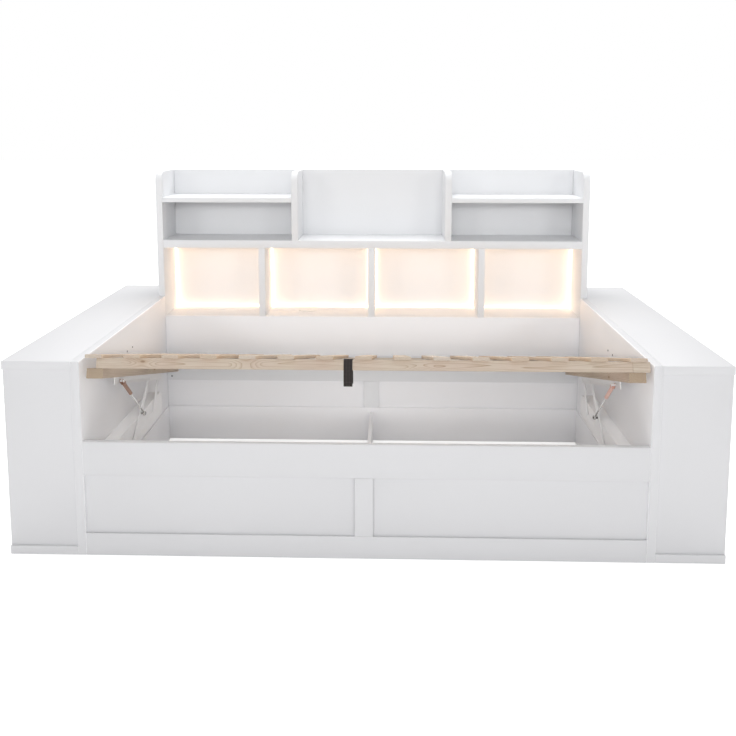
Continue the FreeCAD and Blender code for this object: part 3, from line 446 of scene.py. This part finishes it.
def light_diffuser(name, colour, strength):
    """Frosted polycarbonate over lit diodes: an even warm glow that ripples faintly from diode to diode."""
    material, shader = new_material(name)
    ripple = noise(material, object_place(material), size=0.016, detail=1.0)
    # The lens sees the diffuser no brighter than white; what it throws on the niche is stronger.
    seen = add(material, "LightPath").outputs["Is Camera Ray"]
    glow = span(material, ripple, strength * 0.9, strength * 1.1)
    # Most of the light leaves by the front face.
    thrown = sums(material, "MULTIPLY", glow, span(material, facing(material, "Y"), SIDE_SHARE, 1.0))
    level = add(material, "Mix", {"Factor": seen, "A": thrown, "B": 1.0}, data_type="FLOAT")
    feed(shader, "Emission Strength", level.outputs[0])
    feed(shader, "Emission Color", blend(material, seen, linear(colour), linear(GLOW_SEEN)))
    shader.inputs["Base Color"].default_value = linear(DIFFUSER_PLASTIC)
    shader.inputs["Roughness"].default_value = 0.6
    return material


# Shaping helpers.

def placed(name, data):
    """A new object in the scene."""
    piece = bpy.data.objects.new(name, data)
    bpy.context.scene.collection.objects.link(piece)
    return piece


def deselect():
    """Leaves edit mode, with nothing selected."""
    if bpy.context.object and bpy.context.object.mode != "OBJECT":
        bpy.ops.object.mode_set(mode="OBJECT")
    bpy.ops.object.select_all(action="DESELECT")


def edit_all():
    """Enters edit mode with everything selected."""
    bpy.ops.object.mode_set(mode="EDIT")
    bpy.ops.mesh.select_all(action="SELECT")


def face_outward():
    """Turns all faces outward and leaves edit mode."""
    bpy.ops.mesh.select_all(action="SELECT")
    bpy.ops.mesh.normals_make_consistent(inside=False)
    bpy.ops.object.mode_set(mode="OBJECT")


def take(obj):
    """Makes one object the only selected one."""
    deselect()
    obj.select_set(True)
    bpy.context.view_layer.objects.active = obj


def paint(obj, material):
    """Gives an object its one material."""
    obj.data.materials.clear()
    obj.data.materials.append(material)


def soften(obj, width):
    """Rounds every sharp edge and keeps the flats flat."""
    take(obj)
    edge = obj.modifiers.new("edges", "BEVEL")
    edge.width = width
    edge.segments = EDGE_SEGMENTS
    edge.limit_method = "ANGLE"
    edge.angle_limit = SHARP_ANGLE
    edge.use_clamp_overlap = True
    edge.harden_normals = False
    bpy.ops.object.modifier_apply(modifier=edge.name)
    bpy.ops.object.shade_smooth_by_angle(angle=SMOOTH_ANGLE)


def eased(node, name, width, material, slot):
    """A board or bar that stands for its node, with the small rounding a real edge has."""
    piece = placed(name, frame["nodes"][node].data.copy())
    take(piece)
    edit_all()
    bpy.ops.mesh.remove_doubles(threshold=MERGE_GAP)
    bpy.ops.mesh.dissolve_limited(angle_limit=FLAT_ANGLE)
    bpy.ops.object.mode_set(mode="OBJECT")
    soften(piece, width)
    dress(piece, material, slot, NODE_BODY[node], node)


def turned(name, steps, place, aim, sides=32):
    """A turned piece: a disc drawn out through (height, radius) steps, then stood at a place along an aim."""
    deselect()
    height, radius = steps[0]
    bpy.ops.mesh.primitive_circle_add(vertices=sides, radius=radius, fill_type="NGON")
    piece = bpy.context.object
    piece.name = name
    edit_all()
    bpy.ops.transform.translate(value=(0.0, 0.0, height))
    for next_height, next_radius in steps[1:]:
        bpy.ops.mesh.extrude_region_move(TRANSFORM_OT_translate={"value": (0.0, 0.0, next_height - height)})
        share = next_radius / radius
        bpy.ops.transform.resize(value=(share, share, 1.0))
        height, radius = next_height, next_radius
    face_outward()
    stand(piece, place, Vector(aim).to_track_quat("Z", "Y").to_matrix())
    bpy.ops.object.shade_smooth_by_angle(angle=SHARP_ANGLE)
    return piece


def ribbon(name, line, width, thickness):
    """A flat band of even width across X, drawn out along a line of points and given its thickness."""
    deselect()
    bpy.ops.mesh.primitive_plane_add(size=width)
    band = bpy.context.object
    band.name = name
    for vertex in band.data.vertices:
        vertex.select = vertex.co.y > 0
    for edge in band.data.edges:
        edge.select = all(band.data.vertices[i].select for i in edge.vertices)
    for face in band.data.polygons:
        face.select = False
    bpy.ops.object.mode_set(mode="EDIT")
    bpy.ops.mesh.select_mode(type="VERT")
    bpy.ops.mesh.select_all(action="INVERT")
    bpy.ops.mesh.delete(type="VERT")
    bpy.ops.mesh.select_all(action="SELECT")
    bpy.ops.transform.translate(value=line[0] - Vector((0.0, width / 2, 0.0)))
    for near, far in zip(line, line[1:]):
        bpy.ops.mesh.extrude_region_move(TRANSFORM_OT_translate={"value": far - near})
    face_outward()
    map_run(band, line)
    take(band)
    sheet = band.modifiers.new("sheet", "SOLIDIFY")
    sheet.thickness = thickness
    sheet.offset = 0.0
    sheet.use_even_offset = True
    bpy.ops.object.modifier_apply(modifier=sheet.name)
    return band


def map_run(band, line):
    """Lays a map in metres on a band: across it and along its middle line."""
    runs = [0.0]
    for near, far in zip(line, line[1:]):
        runs.append(runs[-1] + (far - near).length)
    layer = band.data.uv_layers.new(name="run")
    for loop in band.data.loops:
        place = band.data.vertices[loop.vertex_index].co
        nearest = min(range(len(line)), key=lambda i: (line[i].yz - place.yz).length)
        layer.data[loop.index].uv = (place.x - line[0].x, runs[nearest])


def stand(piece, place, turn):
    """Turns a piece, moves it to its place and puts both into its mesh."""
    take(piece)
    piece.matrix_world = Matrix.Translation(place) @ turn.to_4x4()
    bpy.ops.object.transform_apply()


def joined(name, pieces):
    """Several pieces as one object."""
    deselect()
    for piece in pieces:
        piece.select_set(True)
    bpy.context.view_layer.objects.active = pieces[0]
    if len(pieces) > 1:
        bpy.ops.object.join()
    pieces[0].name = name
    return pieces[0]


def dress(piece, material, slot, body, *nodes):
    """Gives a finished piece its material and body, and says which nodes it stands for. Its slot is not used.
    """
    paint(piece, material)
    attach(piece, body)
    if nodes:
        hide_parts(*nodes)


def islands(node):
    """The separate solids of a node, each as the lists of its corner points."""
    take(placed("split", frame["nodes"][node].data.copy()))
    edit_all()
    bpy.ops.mesh.remove_doubles(threshold=MERGE_GAP)
    bpy.ops.mesh.separate(type="LOOSE")
    bpy.ops.object.mode_set(mode="OBJECT")
    parts = list(bpy.context.selected_objects)
    found = [[vertex.co.copy() for vertex in piece.data.vertices] for piece in parts]
    for piece in parts:
        bpy.data.objects.remove(piece)
    return sorted(found, key=lambda points: tuple(round(c, 4) for c in middle(points)))


def middle(points):
    """Middle of the box round some points."""
    return Vector([(min(p[i] for p in points) + max(p[i] for p in points)) / 2 for i in range(3)])


def on_platform(along, up):
    """Y and Z of a place on the raised platform, from its lower front corner."""
    return (PLATFORM_CORNER[0] + along * math.cos(LIFT_TILT) + up * math.sin(LIFT_TILT),
            PLATFORM_CORNER[1] - along * math.sin(LIFT_TILT) + up * math.cos(LIFT_TILT))


# Sizes and colours that a user would change.

def colour_setting(name, what, colour):
    """A colour that a user can change, as sRGB hex."""
    return bpy.props.StringProperty(name=name, description=what + ", sRGB hex", default=colour)


def size_setting(name, what, size):
    """A size in metres that a user can change."""
    return bpy.props.FloatProperty(name=name, description=what, default=size, subtype="DISTANCE")


class DaybedFinish(bpy.types.PropertyGroup):
    """Colours of the daybed's finishes."""
    lacquer: colour_setting("Lacquer", "Arms' and front panel's lacquer", "#d9d9db")
    # The two melamine whites below are paler than the lacquer: painted light for the shaded well, arms' inner
    # sides and bookcase.
    melamine: colour_setting("Well melamine", "Well's and arms' inner boards", "#fbfbfd")
    bookcase: colour_setting("Bookcase melamine", "Boards of the bookcase and the rail below it", "#eeeff1")
    steel: colour_setting("Steel", "Lift steel's coating", "#f9f9fa")
    left_cylinder: colour_setting("Left gas cylinder", "Left cylinder's lacquer", "#a47c66")
    right_cylinder: colour_setting("Right gas cylinder", "Right cylinder's lacquer", "#f3c5b6")
    strap: colour_setting("Strap", "Pull strap's webbing", "#383332")
    plastic: colour_setting("Plastic", "Cable grommet", "#efefed")
    glow: colour_setting("Glow", "Niche lights", "#ffd8b0")


class DaybedSizes(bpy.types.PropertyGroup):
    """Small sizes that the boards, fittings and lamps are finished to."""
    board_edge: size_setting("Board edge", "Rounding of the boards' edges", 0.0015)
    batten_edge: size_setting("Batten edge", "Rounding of the pine battens' edges", 0.0015)
    steel_edge: size_setting("Steel edge", "Rounding of the lift steel's edges", 0.0006)
    strap_width: size_setting("Strap width", "Width of the pull strap", 0.030)
    strap_thickness: size_setting("Strap thickness", "Thickness of the pull strap", 0.0022)
    glow_strength: bpy.props.FloatProperty(
        name="Glow strength", description="Strength of the niche lights", default=10.0, min=0.0)


class DAYBED_OT_boards(bpy.types.Operator):
    """Lacquered fronts, and melamine boards in whites paler than the lacquer as painted light, of the arms,
    the bookcase, the front panel and the well
    """
    bl_idname = "daybed.boards"
    bl_label = "Boards"

    def execute(self, context):
        finish = context.scene.daybed_finish
        lacquer = sprayed_lacquer("sprayed_satin_lacquer", finish.lacquer)
        # The two melamine whites are paler than the lacquer, as painted light.
        plain = pressed_melamine("pressed_white_melamine_painted_light", finish.melamine)
        taped = pressed_melamine("edge_taped_melamine_painted_light", finish.melamine, finish.lacquer)
        bookcase = pressed_melamine("pressed_bookcase_melamine_painted_light", finish.bookcase)
        edge = context.scene.daybed_sizes.board_edge
        for node in BODIES["cabinet"]:
            if node in STEEL + PINS + SCREWS + GROMMET + ["light_strips"]:
                continue
            kind = node.removeprefix("left_").removeprefix("right_")
            if kind in FRONTS:
                eased(node, node + "_lacquered", edge, lacquer, "white_board")
            else:
                melamine = taped if kind in TAPED else bookcase if kind in BOOKCASE else plain
                eased(node, node + "_melamine", edge, melamine, "white_board")
        return {"FINISHED"}


class DAYBED_OT_platform(bpy.types.Operator):
    """Raw pine side rails, cross rails and slats"""
    bl_idname = "daybed.platform"
    bl_label = "Pine platform"

    def execute(self, context):
        for i, node in enumerate(PINE):
            wood = raw_pine(node, FIRST_SEED + i * SEED_STEP)
            eased(node, node + "_planed", context.scene.daybed_sizes.batten_edge, wood, "pine")
        return {"FINISHED"}


# The base plate's web: its outline from the lower front corner to the lower back one, as (y, z), and its rim.
PLATE_LINE = [(-0.4665, 0.2400), (-0.4665, 0.3074), (-0.4434, 0.3305), (0.0974, 0.3305), (0.1205, 0.3074),
              (0.1205, 0.2400)]
PLATE_REACH = (0.9180, 0.9648)
PLATE_STEEL = 0.0030


class DAYBED_OT_lift(bpy.types.Operator):
    """Brackets, base plates with their folded rims, and links of the lift"""
    bl_idname = "daybed.lift"
    bl_label = "Lift steel"

    def execute(self, context):
        coat = powder_coat("powder_coated_steel", context.scene.daybed_finish.steel)
        edge = context.scene.daybed_sizes.steel_edge
        for node in STEEL:
            eased(node, node + "_coated", edge, coat, "white_steel")
        for side, sign in (("left", -1), ("right", 1)):
            place = sign * sum(PLATE_REACH) / 2
            rim = ribbon(side + "_base_plate_rim", [Vector((place, y, z)) for y, z in PLATE_LINE],
                         PLATE_REACH[1] - PLATE_REACH[0], PLATE_STEEL)
            soften(rim, edge)
            dress(rim, coat, "white_steel", "cabinet", side + "_base_plate")
        return {"FINISHED"}


# Gas spring, from its pin on the rail bracket down to its stud on the front link.
SPRING_PLANE = 0.896
SPRING_TOP = (-0.43531, 0.55319)
SPRING_FOOT = (-0.18467, 0.33771)
CYLINDER_STEPS = [(0.0185, 0.0042), (0.0192, 0.0056), (0.0215, 0.0068), (0.0235, 0.0070), (0.1100, 0.0070),
                  (0.1108, 0.0064), (0.1128, 0.0064), (0.1136, 0.0070), (0.1200, 0.0070), (0.1215, 0.0062),
                  (0.1220, 0.0052), (0.1220, 0.0035), (0.0200, 0.0034)]
PRONG_RADIUS = 0.0070
PRONG_INNER = 0.0035
PRONG_LENGTH = 0.0200
SMALL_EDGE = 0.0006
# The rod starts in the cylinder's mouth; its end and its nut are measured back from the lower pin.
ROD_START = [(0.1172, 0.0026), (0.1176, 0.0030)]
ROD_END = [(0.0200, 0.0030), (0.0190, 0.0024), (0.0060, 0.0024)]
NUT_STEPS = [(0.0165, 0.0040), (0.0160, 0.0048), (0.0125, 0.0048), (0.0120, 0.0040)]
EYE_STEPS = [(-0.0045, 0.0078), (-0.0037, 0.0088), (0.0037, 0.0088), (0.0045, 0.0078)]
BOLT_STEPS = [(-0.0123, 0.0040), (0.0045, 0.0040), (0.0045, 0.0058), (0.0050, 0.0061), (0.0056, 0.0058),
              (0.0060, 0.0046), (0.0060, 0.0024), (0.0050, 0.0024)]


class DAYBED_OT_springs(bpy.types.Operator):
    """Two gas springs: forked lacquered cylinders with rolled ends, and ground rods with bolted eyes"""
    bl_idname = "daybed.springs"
    bl_label = "Gas springs"

    def prong(self, inner, outer):
        """One flat prong of the fork, round at the pin, drawn out along the cylinder."""
        deselect()
        bpy.ops.mesh.primitive_circle_add(vertices=24, radius=PRONG_RADIUS, fill_type="NGON",
                                          rotation=(0.0, math.pi / 2, 0.0))
        piece = bpy.context.object
        bpy.ops.object.transform_apply()
        edit_all()
        bpy.ops.transform.translate(value=(inner, 0.0, 0.0))
        bpy.ops.mesh.extrude_region_move(TRANSFORM_OT_translate={"value": (outer - inner, 0.0, 0.0)})
        bpy.ops.object.mode_set(mode="OBJECT")
        for vertex in piece.data.vertices:
            vertex.select = vertex.co.z > MERGE_GAP
        bpy.ops.object.mode_set(mode="EDIT")
        bpy.ops.transform.translate(value=(0.0, 0.0, PRONG_LENGTH))
        face_outward()
        soften(piece, SMALL_EDGE)
        return piece

    def execute(self, context):
        finish = context.scene.daybed_finish
        ground = metal("ground_chromed_steel", "#d9d8d6", 0.12, 0.2, 0.002)
        bolts = {"left": metal("zinc_plated_bolt_steel", "#a9a8a6", 0.3, 0.45, 0.004),
                 "right": metal("blacked_bolt_steel", "#4b4745", 0.35, 0.5, 0.004)}
        run = Vector((0.0, SPRING_FOOT[0] - SPRING_TOP[0], SPRING_FOOT[1] - SPRING_TOP[1]))
        length = run.length
        rod_end = [(length - back, radius) for back, radius in ROD_END]
        nut_steps = [(length - back, radius) for back, radius in NUT_STEPS]
        tip = Matrix.Rotation(-math.atan2(run.y, run.z), 3, "X")
        for side, sign, colour in (("left", -1, finish.left_cylinder), ("right", 1, finish.right_cylinder)):
            top = Vector((sign * SPRING_PLANE, *SPRING_TOP))
            tube = turned("tube", CYLINDER_STEPS, ORIGIN, UPWARD)
            prongs = [self.prong(PRONG_INNER, PRONG_RADIUS), self.prong(-PRONG_RADIUS, -PRONG_INNER)]
            cylinder = joined(side + "_gas_cylinder_forked", [tube] + prongs)
            stand(cylinder, top, tip)
            slot = "cylinder_brown" if side == "left" else "cylinder_salmon"
            dress(cylinder, cylinder_lacquer(side + "_cylinder_lacquer", colour), slot,
                  side + "_gas_cylinder", side + "_gas_cylinder")

            shaft = turned("shaft", ROD_START + rod_end, ORIGIN, UPWARD)
            nut = turned("nut", nut_steps, ORIGIN, UPWARD, sides=6)
            eye = turned("eye", EYE_STEPS, (0.0, 0.0, length), (1.0, 0.0, 0.0))
            rod = joined(side + "_gas_rod_ground", [shaft, nut, eye])
            stand(rod, top, tip)
            dress(rod, ground, "rod_steel", side + "_gas_rod", side + "_gas_rod")
            foot = Vector((sign * SPRING_PLANE, *SPRING_FOOT))
            bolt = turned(side + "_gas_rod_bolt", BOLT_STEPS, foot, (-sign, 0.0, 0.0))
            dress(bolt, bolts[side], "dark_steel", side + "_gas_rod")
        return {"FINISHED"}


RIVET_DOME = [(0.0000, 0.0060), (0.0006, 0.0060), (0.0011, 0.0052), (0.0015, 0.0032)]
RIVET_SHANK = 0.0040
RIVET_CHAMFER = 0.0004
# A pin's points that lie further out than its shank by this are its head's.
HEAD_RIM = 0.001
FORK_ROOM = 0.0026
# A pin longer than this goes through a gas spring's fork too, and its head then stands out by FORK_ROOM.
FORK_PIN = 0.016
SCREW_STEPS = [(0.0000, 0.0040), (0.0006, 0.0040), (0.0014, 0.0033), (0.0019, 0.0020), (0.0019, 0.0014),
               (0.0010, 0.0012)]
# A screw head that lies flat on an upright board is lower than this.
HEAD_HEIGHT = 0.004


class DAYBED_OT_fasteners(bpy.types.Operator):
    """Domed pivot rivets, and pan-head screws with a drive recess"""
    bl_idname = "daybed.fasteners"
    bl_label = "Rivets and screws"

    def rivet(self, points):
        """A rivet where a pin is: a plain shank with a domed head on the end that is wide."""
        centre = middle(points)
        low = min(p.x for p in points)
        high = max(p.x for p in points)
        wide = [p.x for p in points if (p - centre).yz.length > RIVET_SHANK + HEAD_RIM]
        aim = 1.0 if sum(wide) / len(wide) > centre.x else -1.0
        head = high - RIVET_DOME[-1][0] if aim > 0 else low + RIVET_DOME[-1][0]
        tail = low if aim > 0 else high
        if high - low > FORK_PIN:
            head += aim * FORK_ROOM
        length = abs(head - tail)
        steps = [(0.0, RIVET_SHANK - RIVET_CHAMFER), (RIVET_CHAMFER, RIVET_SHANK), (length, RIVET_SHANK)]
        steps += [(length + rise, radius) for rise, radius in RIVET_DOME]
        return turned("rivet", steps, (tail, centre.y, centre.z), (aim, 0.0, 0.0), sides=24)

    def screw(self, points):
        """A screw head where a head is, standing out from the board behind it."""
        centre = middle(points)
        spans = [max(p[i] for p in points) - min(p[i] for p in points) for i in range(3)]
        thinnest = spans.index(min(spans))
        if min(spans) < HEAD_HEIGHT and thinnest == 0:
            aim = Vector((-math.copysign(1.0, centre.x), 0.0, 0.0))
        elif thinnest == 1:
            aim = Vector((0.0, -1.0, 0.0))
        else:
            aim = Vector((0.0, -math.sin(LIFT_TILT), -math.cos(LIFT_TILT)))
        low = min((p - centre).dot(aim) for p in points)
        return turned("screw", SCREW_STEPS, centre + aim * low, aim, sides=16)

    def execute(self, context):
        coat = powder_coat("powder_coated_rivet", context.scene.daybed_finish.steel)
        zinc = metal("zinc_plated_screw", "#8f8d8c", 0.3, 0.45, 0.003)
        for node in PINS:
            piece = joined(node + "_riveted", [self.rivet(points) for points in islands(node)])
            dress(piece, coat, "dark_steel", NODE_BODY[node], node)
        for node in SCREWS:
            piece = joined(node + "_driven", [self.screw(points) for points in islands(node)])
            dress(piece, zinc, "dark_steel", NODE_BODY[node], node)
        return {"FINISHED"}


# Rows of slat screws along the platform, and how far they sit from a row's and a slat's middle line.
SLAT_SCREW_ROWS = (0.0285, 0.4985, 0.9690)
SLAT_SCREW_OFFSET = 0.013
SLAT_TOP = 0.0810
SLAT_SCREW_STEPS = [(-0.0020, 0.0015), (-0.0001, 0.0036), (0.0002, 0.0034), (0.0002, 0.0014),
                    (-0.0008, 0.0010)]


class DAYBED_OT_slat_screws(bpy.types.Operator):
    """Two countersunk screws where each slat crosses a cross rail"""
    bl_idname = "daybed.slat_screws"
    bl_label = "Slat screws"

    def execute(self, context):
        plated = metal("yellow_zinc_screw", "#b9a171", 0.3, 0.45, 0.003)
        aim = Vector((0.0, math.sin(LIFT_TILT), math.cos(LIFT_TILT)))
        first = turned("slat_screw", SLAT_SCREW_STEPS, ORIGIN, aim, sides=12)
        copies = []
        for row in SLAT_SCREW_ROWS:
            for i in range(SLAT_COUNT):
                for hand in (-1, 1):
                    copy = placed("slat_screw", first.data.copy())
                    y, z = on_platform(row + hand * SLAT_SCREW_OFFSET, SLAT_TOP)
                    x = (i - (SLAT_COUNT - 1) / 2) * SLAT_PITCH - hand * SLAT_SCREW_OFFSET
                    copy.location = (x, y, z)
                    copies.append(copy)
        bpy.data.objects.remove(first)
        screws = joined("slat_screws_countersunk", copies)
        take(screws)
        bpy.ops.object.transform_apply()
        dress(screws, plated, "dark_steel", "platform")
        return {"FINISHED"}


class DAYBED_OT_lights(bpy.types.Operator):
    """Glowing strips round the backs of the four niches"""
    bl_idname = "daybed.lights"
    bl_label = "Niche lights"

    def execute(self, context):
        colour, strength = context.scene.daybed_finish.glow, context.scene.daybed_sizes.glow_strength
        glow = light_diffuser("frosted_light_strip", colour, strength)
        node = frame["nodes"]["light_strips"]
        node.data.materials.clear()
        node.data.materials.append(glow)
        return {"FINISHED"}


class DAYBED_OT_grommet(bpy.types.Operator):
    """Cable grommet and its cap in the second niche's floor"""
    bl_idname = "daybed.grommet"
    bl_label = "Cable grommet"

    def execute(self, context):
        plastic = moulded_abs("moulded_white_abs", context.scene.daybed_finish.plastic)
        for node in GROMMET:
            eased(node, node + "_moulded", GROMMET_EDGE, plastic, "white_plastic")
        return {"FINISHED"}


# The strap's middle line from front end to back end, as (along the platform, up from it).
STRAP_PLACE = -0.053
STRAP_LINE = [(0.0139, -0.0199), (0.0090, -0.0035), (0.0062, 0.0060), (0.0040, 0.0140), (0.0012, 0.0240),
              (-0.0012, 0.0340), (-0.0018, 0.0500), (-0.0017, 0.0650), (-0.0010, 0.0685), (0.0012, 0.0705),
              (0.0045, 0.0709), (0.0180, 0.0712), (0.0390, 0.0712), (0.0525, 0.0709), (0.0558, 0.0705),
              (0.0580, 0.0685), (0.0587, 0.0650), (0.0588, 0.0500), (0.0582, 0.0340), (0.0600, 0.0240),
              (0.0630, 0.0140), (0.0655, 0.0060), (0.0690, -0.0035), (0.0717, -0.0122)]
HEM_LENGTH = 0.016
STITCH_LENGTH = 0.0028
STITCH_STEP = STITCH_LENGTH * 1.3
STITCH_RADIUS = 0.00035
STITCH_STEPS = [(0.0, STITCH_RADIUS * 0.5), (0.0004, STITCH_RADIUS),
                (STITCH_LENGTH - 0.0004, STITCH_RADIUS), (STITCH_LENGTH, STITCH_RADIUS * 0.5)]
# The sewn box: how far in from the strap's edges and end, how much short of the hem, and its sides' stitches.
SEAM_INSET = 0.003
SEAM_SHORT = 0.004
SIDE_START = 0.002
SIDE_STITCHES = 3


class DAYBED_OT_strap(bpy.types.Operator):
    """Webbing pull strap laid over the front rail, with a sewn hem at each end"""
    bl_idname = "daybed.strap"
    bl_label = "Pull strap"

    def execute(self, context):
        sizes = context.scene.daybed_sizes
        line = [Vector((STRAP_PLACE, *on_platform(*point))) for point in STRAP_LINE]
        strap = ribbon("pull_strap_webbing", line, sizes.strap_width, sizes.strap_thickness)
        soften(strap, SMALL_EDGE)
        nylon = woven_nylon("woven_nylon_webbing", context.scene.daybed_finish.strap)
        dress(strap, nylon, "webbing", "platform", "pull_strap")
        thread = self.stitches(line, sizes)
        dress(thread, woven_thread("bonded_nylon_thread", "#5b5653"), "webbing", "platform")
        return {"FINISHED"}

    def stitches(self, line, sizes):
        """A sewn box on the outer face of each hanging end."""
        rows = []
        half = sizes.strap_width / 2 - SEAM_INSET
        side = Vector((1.0, 0.0, 0.0))
        count = int(2 * half / STITCH_STEP)
        for end, nearby, hand in ((line[0], line[2], -1.0), (line[-1], line[-3], 1.0)):
            up = (nearby - end).normalized()
            out = Vector((0.0, up.z, -up.y)) * hand
            base = end + out * (sizes.strap_thickness / 2 + STITCH_RADIUS * 0.3) + up * SEAM_INSET
            for level in (0.0, HEM_LENGTH - SEAM_SHORT):
                for i in range(count):
                    across = -half + 2 * half * (i + 0.5) / count
                    rows.append((base + up * level + side * across, side))
            for edge in (-half, half):
                for i in range(SIDE_STITCHES):
                    rows.append((base + up * (SIDE_START + i * STITCH_STEP) + side * edge, up))
        stitches = [turned("stitch", STITCH_STEPS, place - aim * STITCH_LENGTH / 2, aim, sides=6)
                    for place, aim in rows]
        return joined("pull_strap_stitching", stitches)


CAMERA_PLACE = (0.08844, -3.30064, 1.48745)
CAMERA_YAW = 0.02793
CAMERA_PITCH = -0.11936
CAMERA_ROLL = 0.00036
CAMERA_LENS = 39.706
CAMERA_SHIFT = -0.1984
NICHE_MIDDLES = (-0.737, -0.254, 0.254, 0.737)
FLOOR_SIZE = 60.0
FLOOR_DROP = 0.0005
FLOOR_PAINT = "#f4f4f4"
# The floor's own white: its share near the object, and the distances between which it grows to full.
FLOOR_VEIL = 0.50
VEIL_REACH = (1.6, 4.0)
WORLD_LIGHT = 0.44
# Each lamp: name, place, aim, width, height and power in watts.
LAMPS = [
    ("overhead_softbox", (0.0, 3.5, 9.0), (0.0, 0.2, 0.0), 8.0, 8.0, 760.0),
    ("key_strip_box", (0.0, -12.0, 3.55), (0.0, 0.0, 0.3), 6.0, 1.0, 160.0),
    ("left_softbox", (-6.7, -9.9, 3.4), (0.0, 0.0, 0.4), 2.5, 1.2, 105.0),
    ("right_softbox", (6.7, -9.9, 3.4), (0.0, 0.0, 0.4), 2.5, 1.2, 105.0),
    ("front_softbox", (0.0, -5.0, 2.9), (0.0, 0.0, 0.6), 2.5, 2.5, 42.0),
    ("well_fill", (0.0, -0.25, 0.14), (0.0, 0.62, 0.22), 1.3, 0.12, 0.33),
    ("bay_fill", (0.0, 0.0, 0.67), (0.0, 0.64, 0.52), 1.8, 0.06, 0.28),
]
# The light that the strips' diffusers spread evenly through each niche.
LAMPS += [("niche_fill_%d" % number, (middle_x, 0.45, 0.80), (middle_x, 0.62, 0.75), 0.36, 0.14, 0.09)
          for number, middle_x in enumerate(NICHE_MIDDLES, 1)]


class DAYBED_OT_stage(bpy.types.Operator):
    """Pale floor, white surround, soft studio light and the camera"""
    bl_idname = "daybed.stage"
    bl_label = "Stage"

    def shown(self, material):
        """One where the camera, a mirror or glass looks, and nought where light is gathered."""
        path = add(material, "LightPath")
        seen = sums(material, "MAXIMUM", path.outputs["Is Camera Ray"], path.outputs["Is Glossy Ray"])
        return sums(material, "MAXIMUM", seen, path.outputs["Is Transmission Ray"])

    def execute(self, context):
        scene = context.scene
        deselect()
        bpy.ops.mesh.primitive_plane_add(size=FLOOR_SIZE, location=(0.0, 0.0, -FLOOR_DROP))
        floor = context.object
        floor.name = "floor"
        bpy.ops.object.transform_apply()
        material, shader = new_material("matt_white_studio_floor")
        shader.inputs["Base Color"].default_value = linear(FLOOR_PAINT)
        shader.inputs["Roughness"].default_value = 0.9
        # The floor shows white round the object's soft shadow, and plain white further out.
        veil = span(material, reach(material, object_place(material)), FLOOR_VEIL, 1.0, *VEIL_REACH)
        glow = sums(material, "MULTIPLY", self.shown(material), veil)
        feed(shader, "Emission Strength", glow)
        shader.inputs["Emission Color"].default_value = (1, 1, 1, 1)
        floor.data.materials.append(material)

        world = bpy.data.worlds.new("white_surround")
        scene.world = world
        world.use_nodes = True
        world.node_tree.nodes.clear()
        strength = span(world, self.shown(world), WORLD_LIGHT, 1.0)
        background = add(world, "Background", {"Color": (1, 1, 1, 1), "Strength": strength})
        add(world, "OutputWorld", {"Surface": background.outputs[0]})

        for name, place, aim, width, height, power in LAMPS:
            data = bpy.data.lights.new(name, "AREA")
            data.shape = "RECTANGLE"
            data.size = width
            data.size_y = height
            data.energy = power
            if name.startswith("niche"):
                data.color = linear(scene.daybed_finish.glow)[:3]
            lamp = placed(name, data)
            lamp.location = place
            lamp.rotation_euler = (Vector(aim) - Vector(place)).to_track_quat("-Z", "Y").to_euler()
            lamp.visible_camera = False

        data = bpy.data.cameras.new("photo_camera")
        data.sensor_width = 36.0
        data.lens = CAMERA_LENS
        data.shift_y = CAMERA_SHIFT
        camera = placed("photo_camera", data)
        turn = (Matrix.Rotation(CAMERA_YAW, 4, "Z") @ Matrix.Rotation(CAMERA_PITCH, 4, "X")
                @ Matrix.Rotation(CAMERA_ROLL, 4, "Y") @ Matrix.Rotation(math.pi / 2, 4, "X"))
        camera.matrix_world = Matrix.Translation(CAMERA_PLACE) @ turn
        scene.camera = camera
        scene.view_settings.view_transform = "Standard"
        return {"FINISHED"}


class DAYBED_PT_panel(bpy.types.Panel):
    """Lists the daybed's steps and settings."""
    bl_label = "Storage Daybed"
    bl_idname = "DAYBED_PT_panel"
    bl_space_type = "VIEW_3D"
    bl_region_type = "UI"
    bl_category = "Daybed"

    def draw(self, context):
        scene = context.scene
        for group in (scene.daybed_finish, scene.daybed_sizes):
            for name in group.__annotations__:
                self.layout.prop(group, name)
        for step in STEPS:
            self.layout.operator(step.bl_idname)


STEPS = [DAYBED_OT_boards, DAYBED_OT_platform, DAYBED_OT_slat_screws, DAYBED_OT_lift, DAYBED_OT_springs,
         DAYBED_OT_fasteners, DAYBED_OT_lights, DAYBED_OT_grommet, DAYBED_OT_strap, DAYBED_OT_stage]
CLASSES = [DaybedFinish, DaybedSizes] + STEPS + [DAYBED_PT_panel]


def register():
    for item in CLASSES:
        bpy.utils.register_class(item)
    bpy.types.Scene.daybed_finish = bpy.props.PointerProperty(type=DaybedFinish)
    bpy.types.Scene.daybed_sizes = bpy.props.PointerProperty(type=DaybedSizes)


def unregister():
    del bpy.types.Scene.daybed_sizes
    del bpy.types.Scene.daybed_finish
    for item in reversed(CLASSES):
        bpy.utils.unregister_class(item)


def main():
    register()
    for step in STEPS:
        group, name = step.bl_idname.split(".")
        getattr(getattr(bpy.ops, group), name)()


if __name__ == "__main__":
    main()
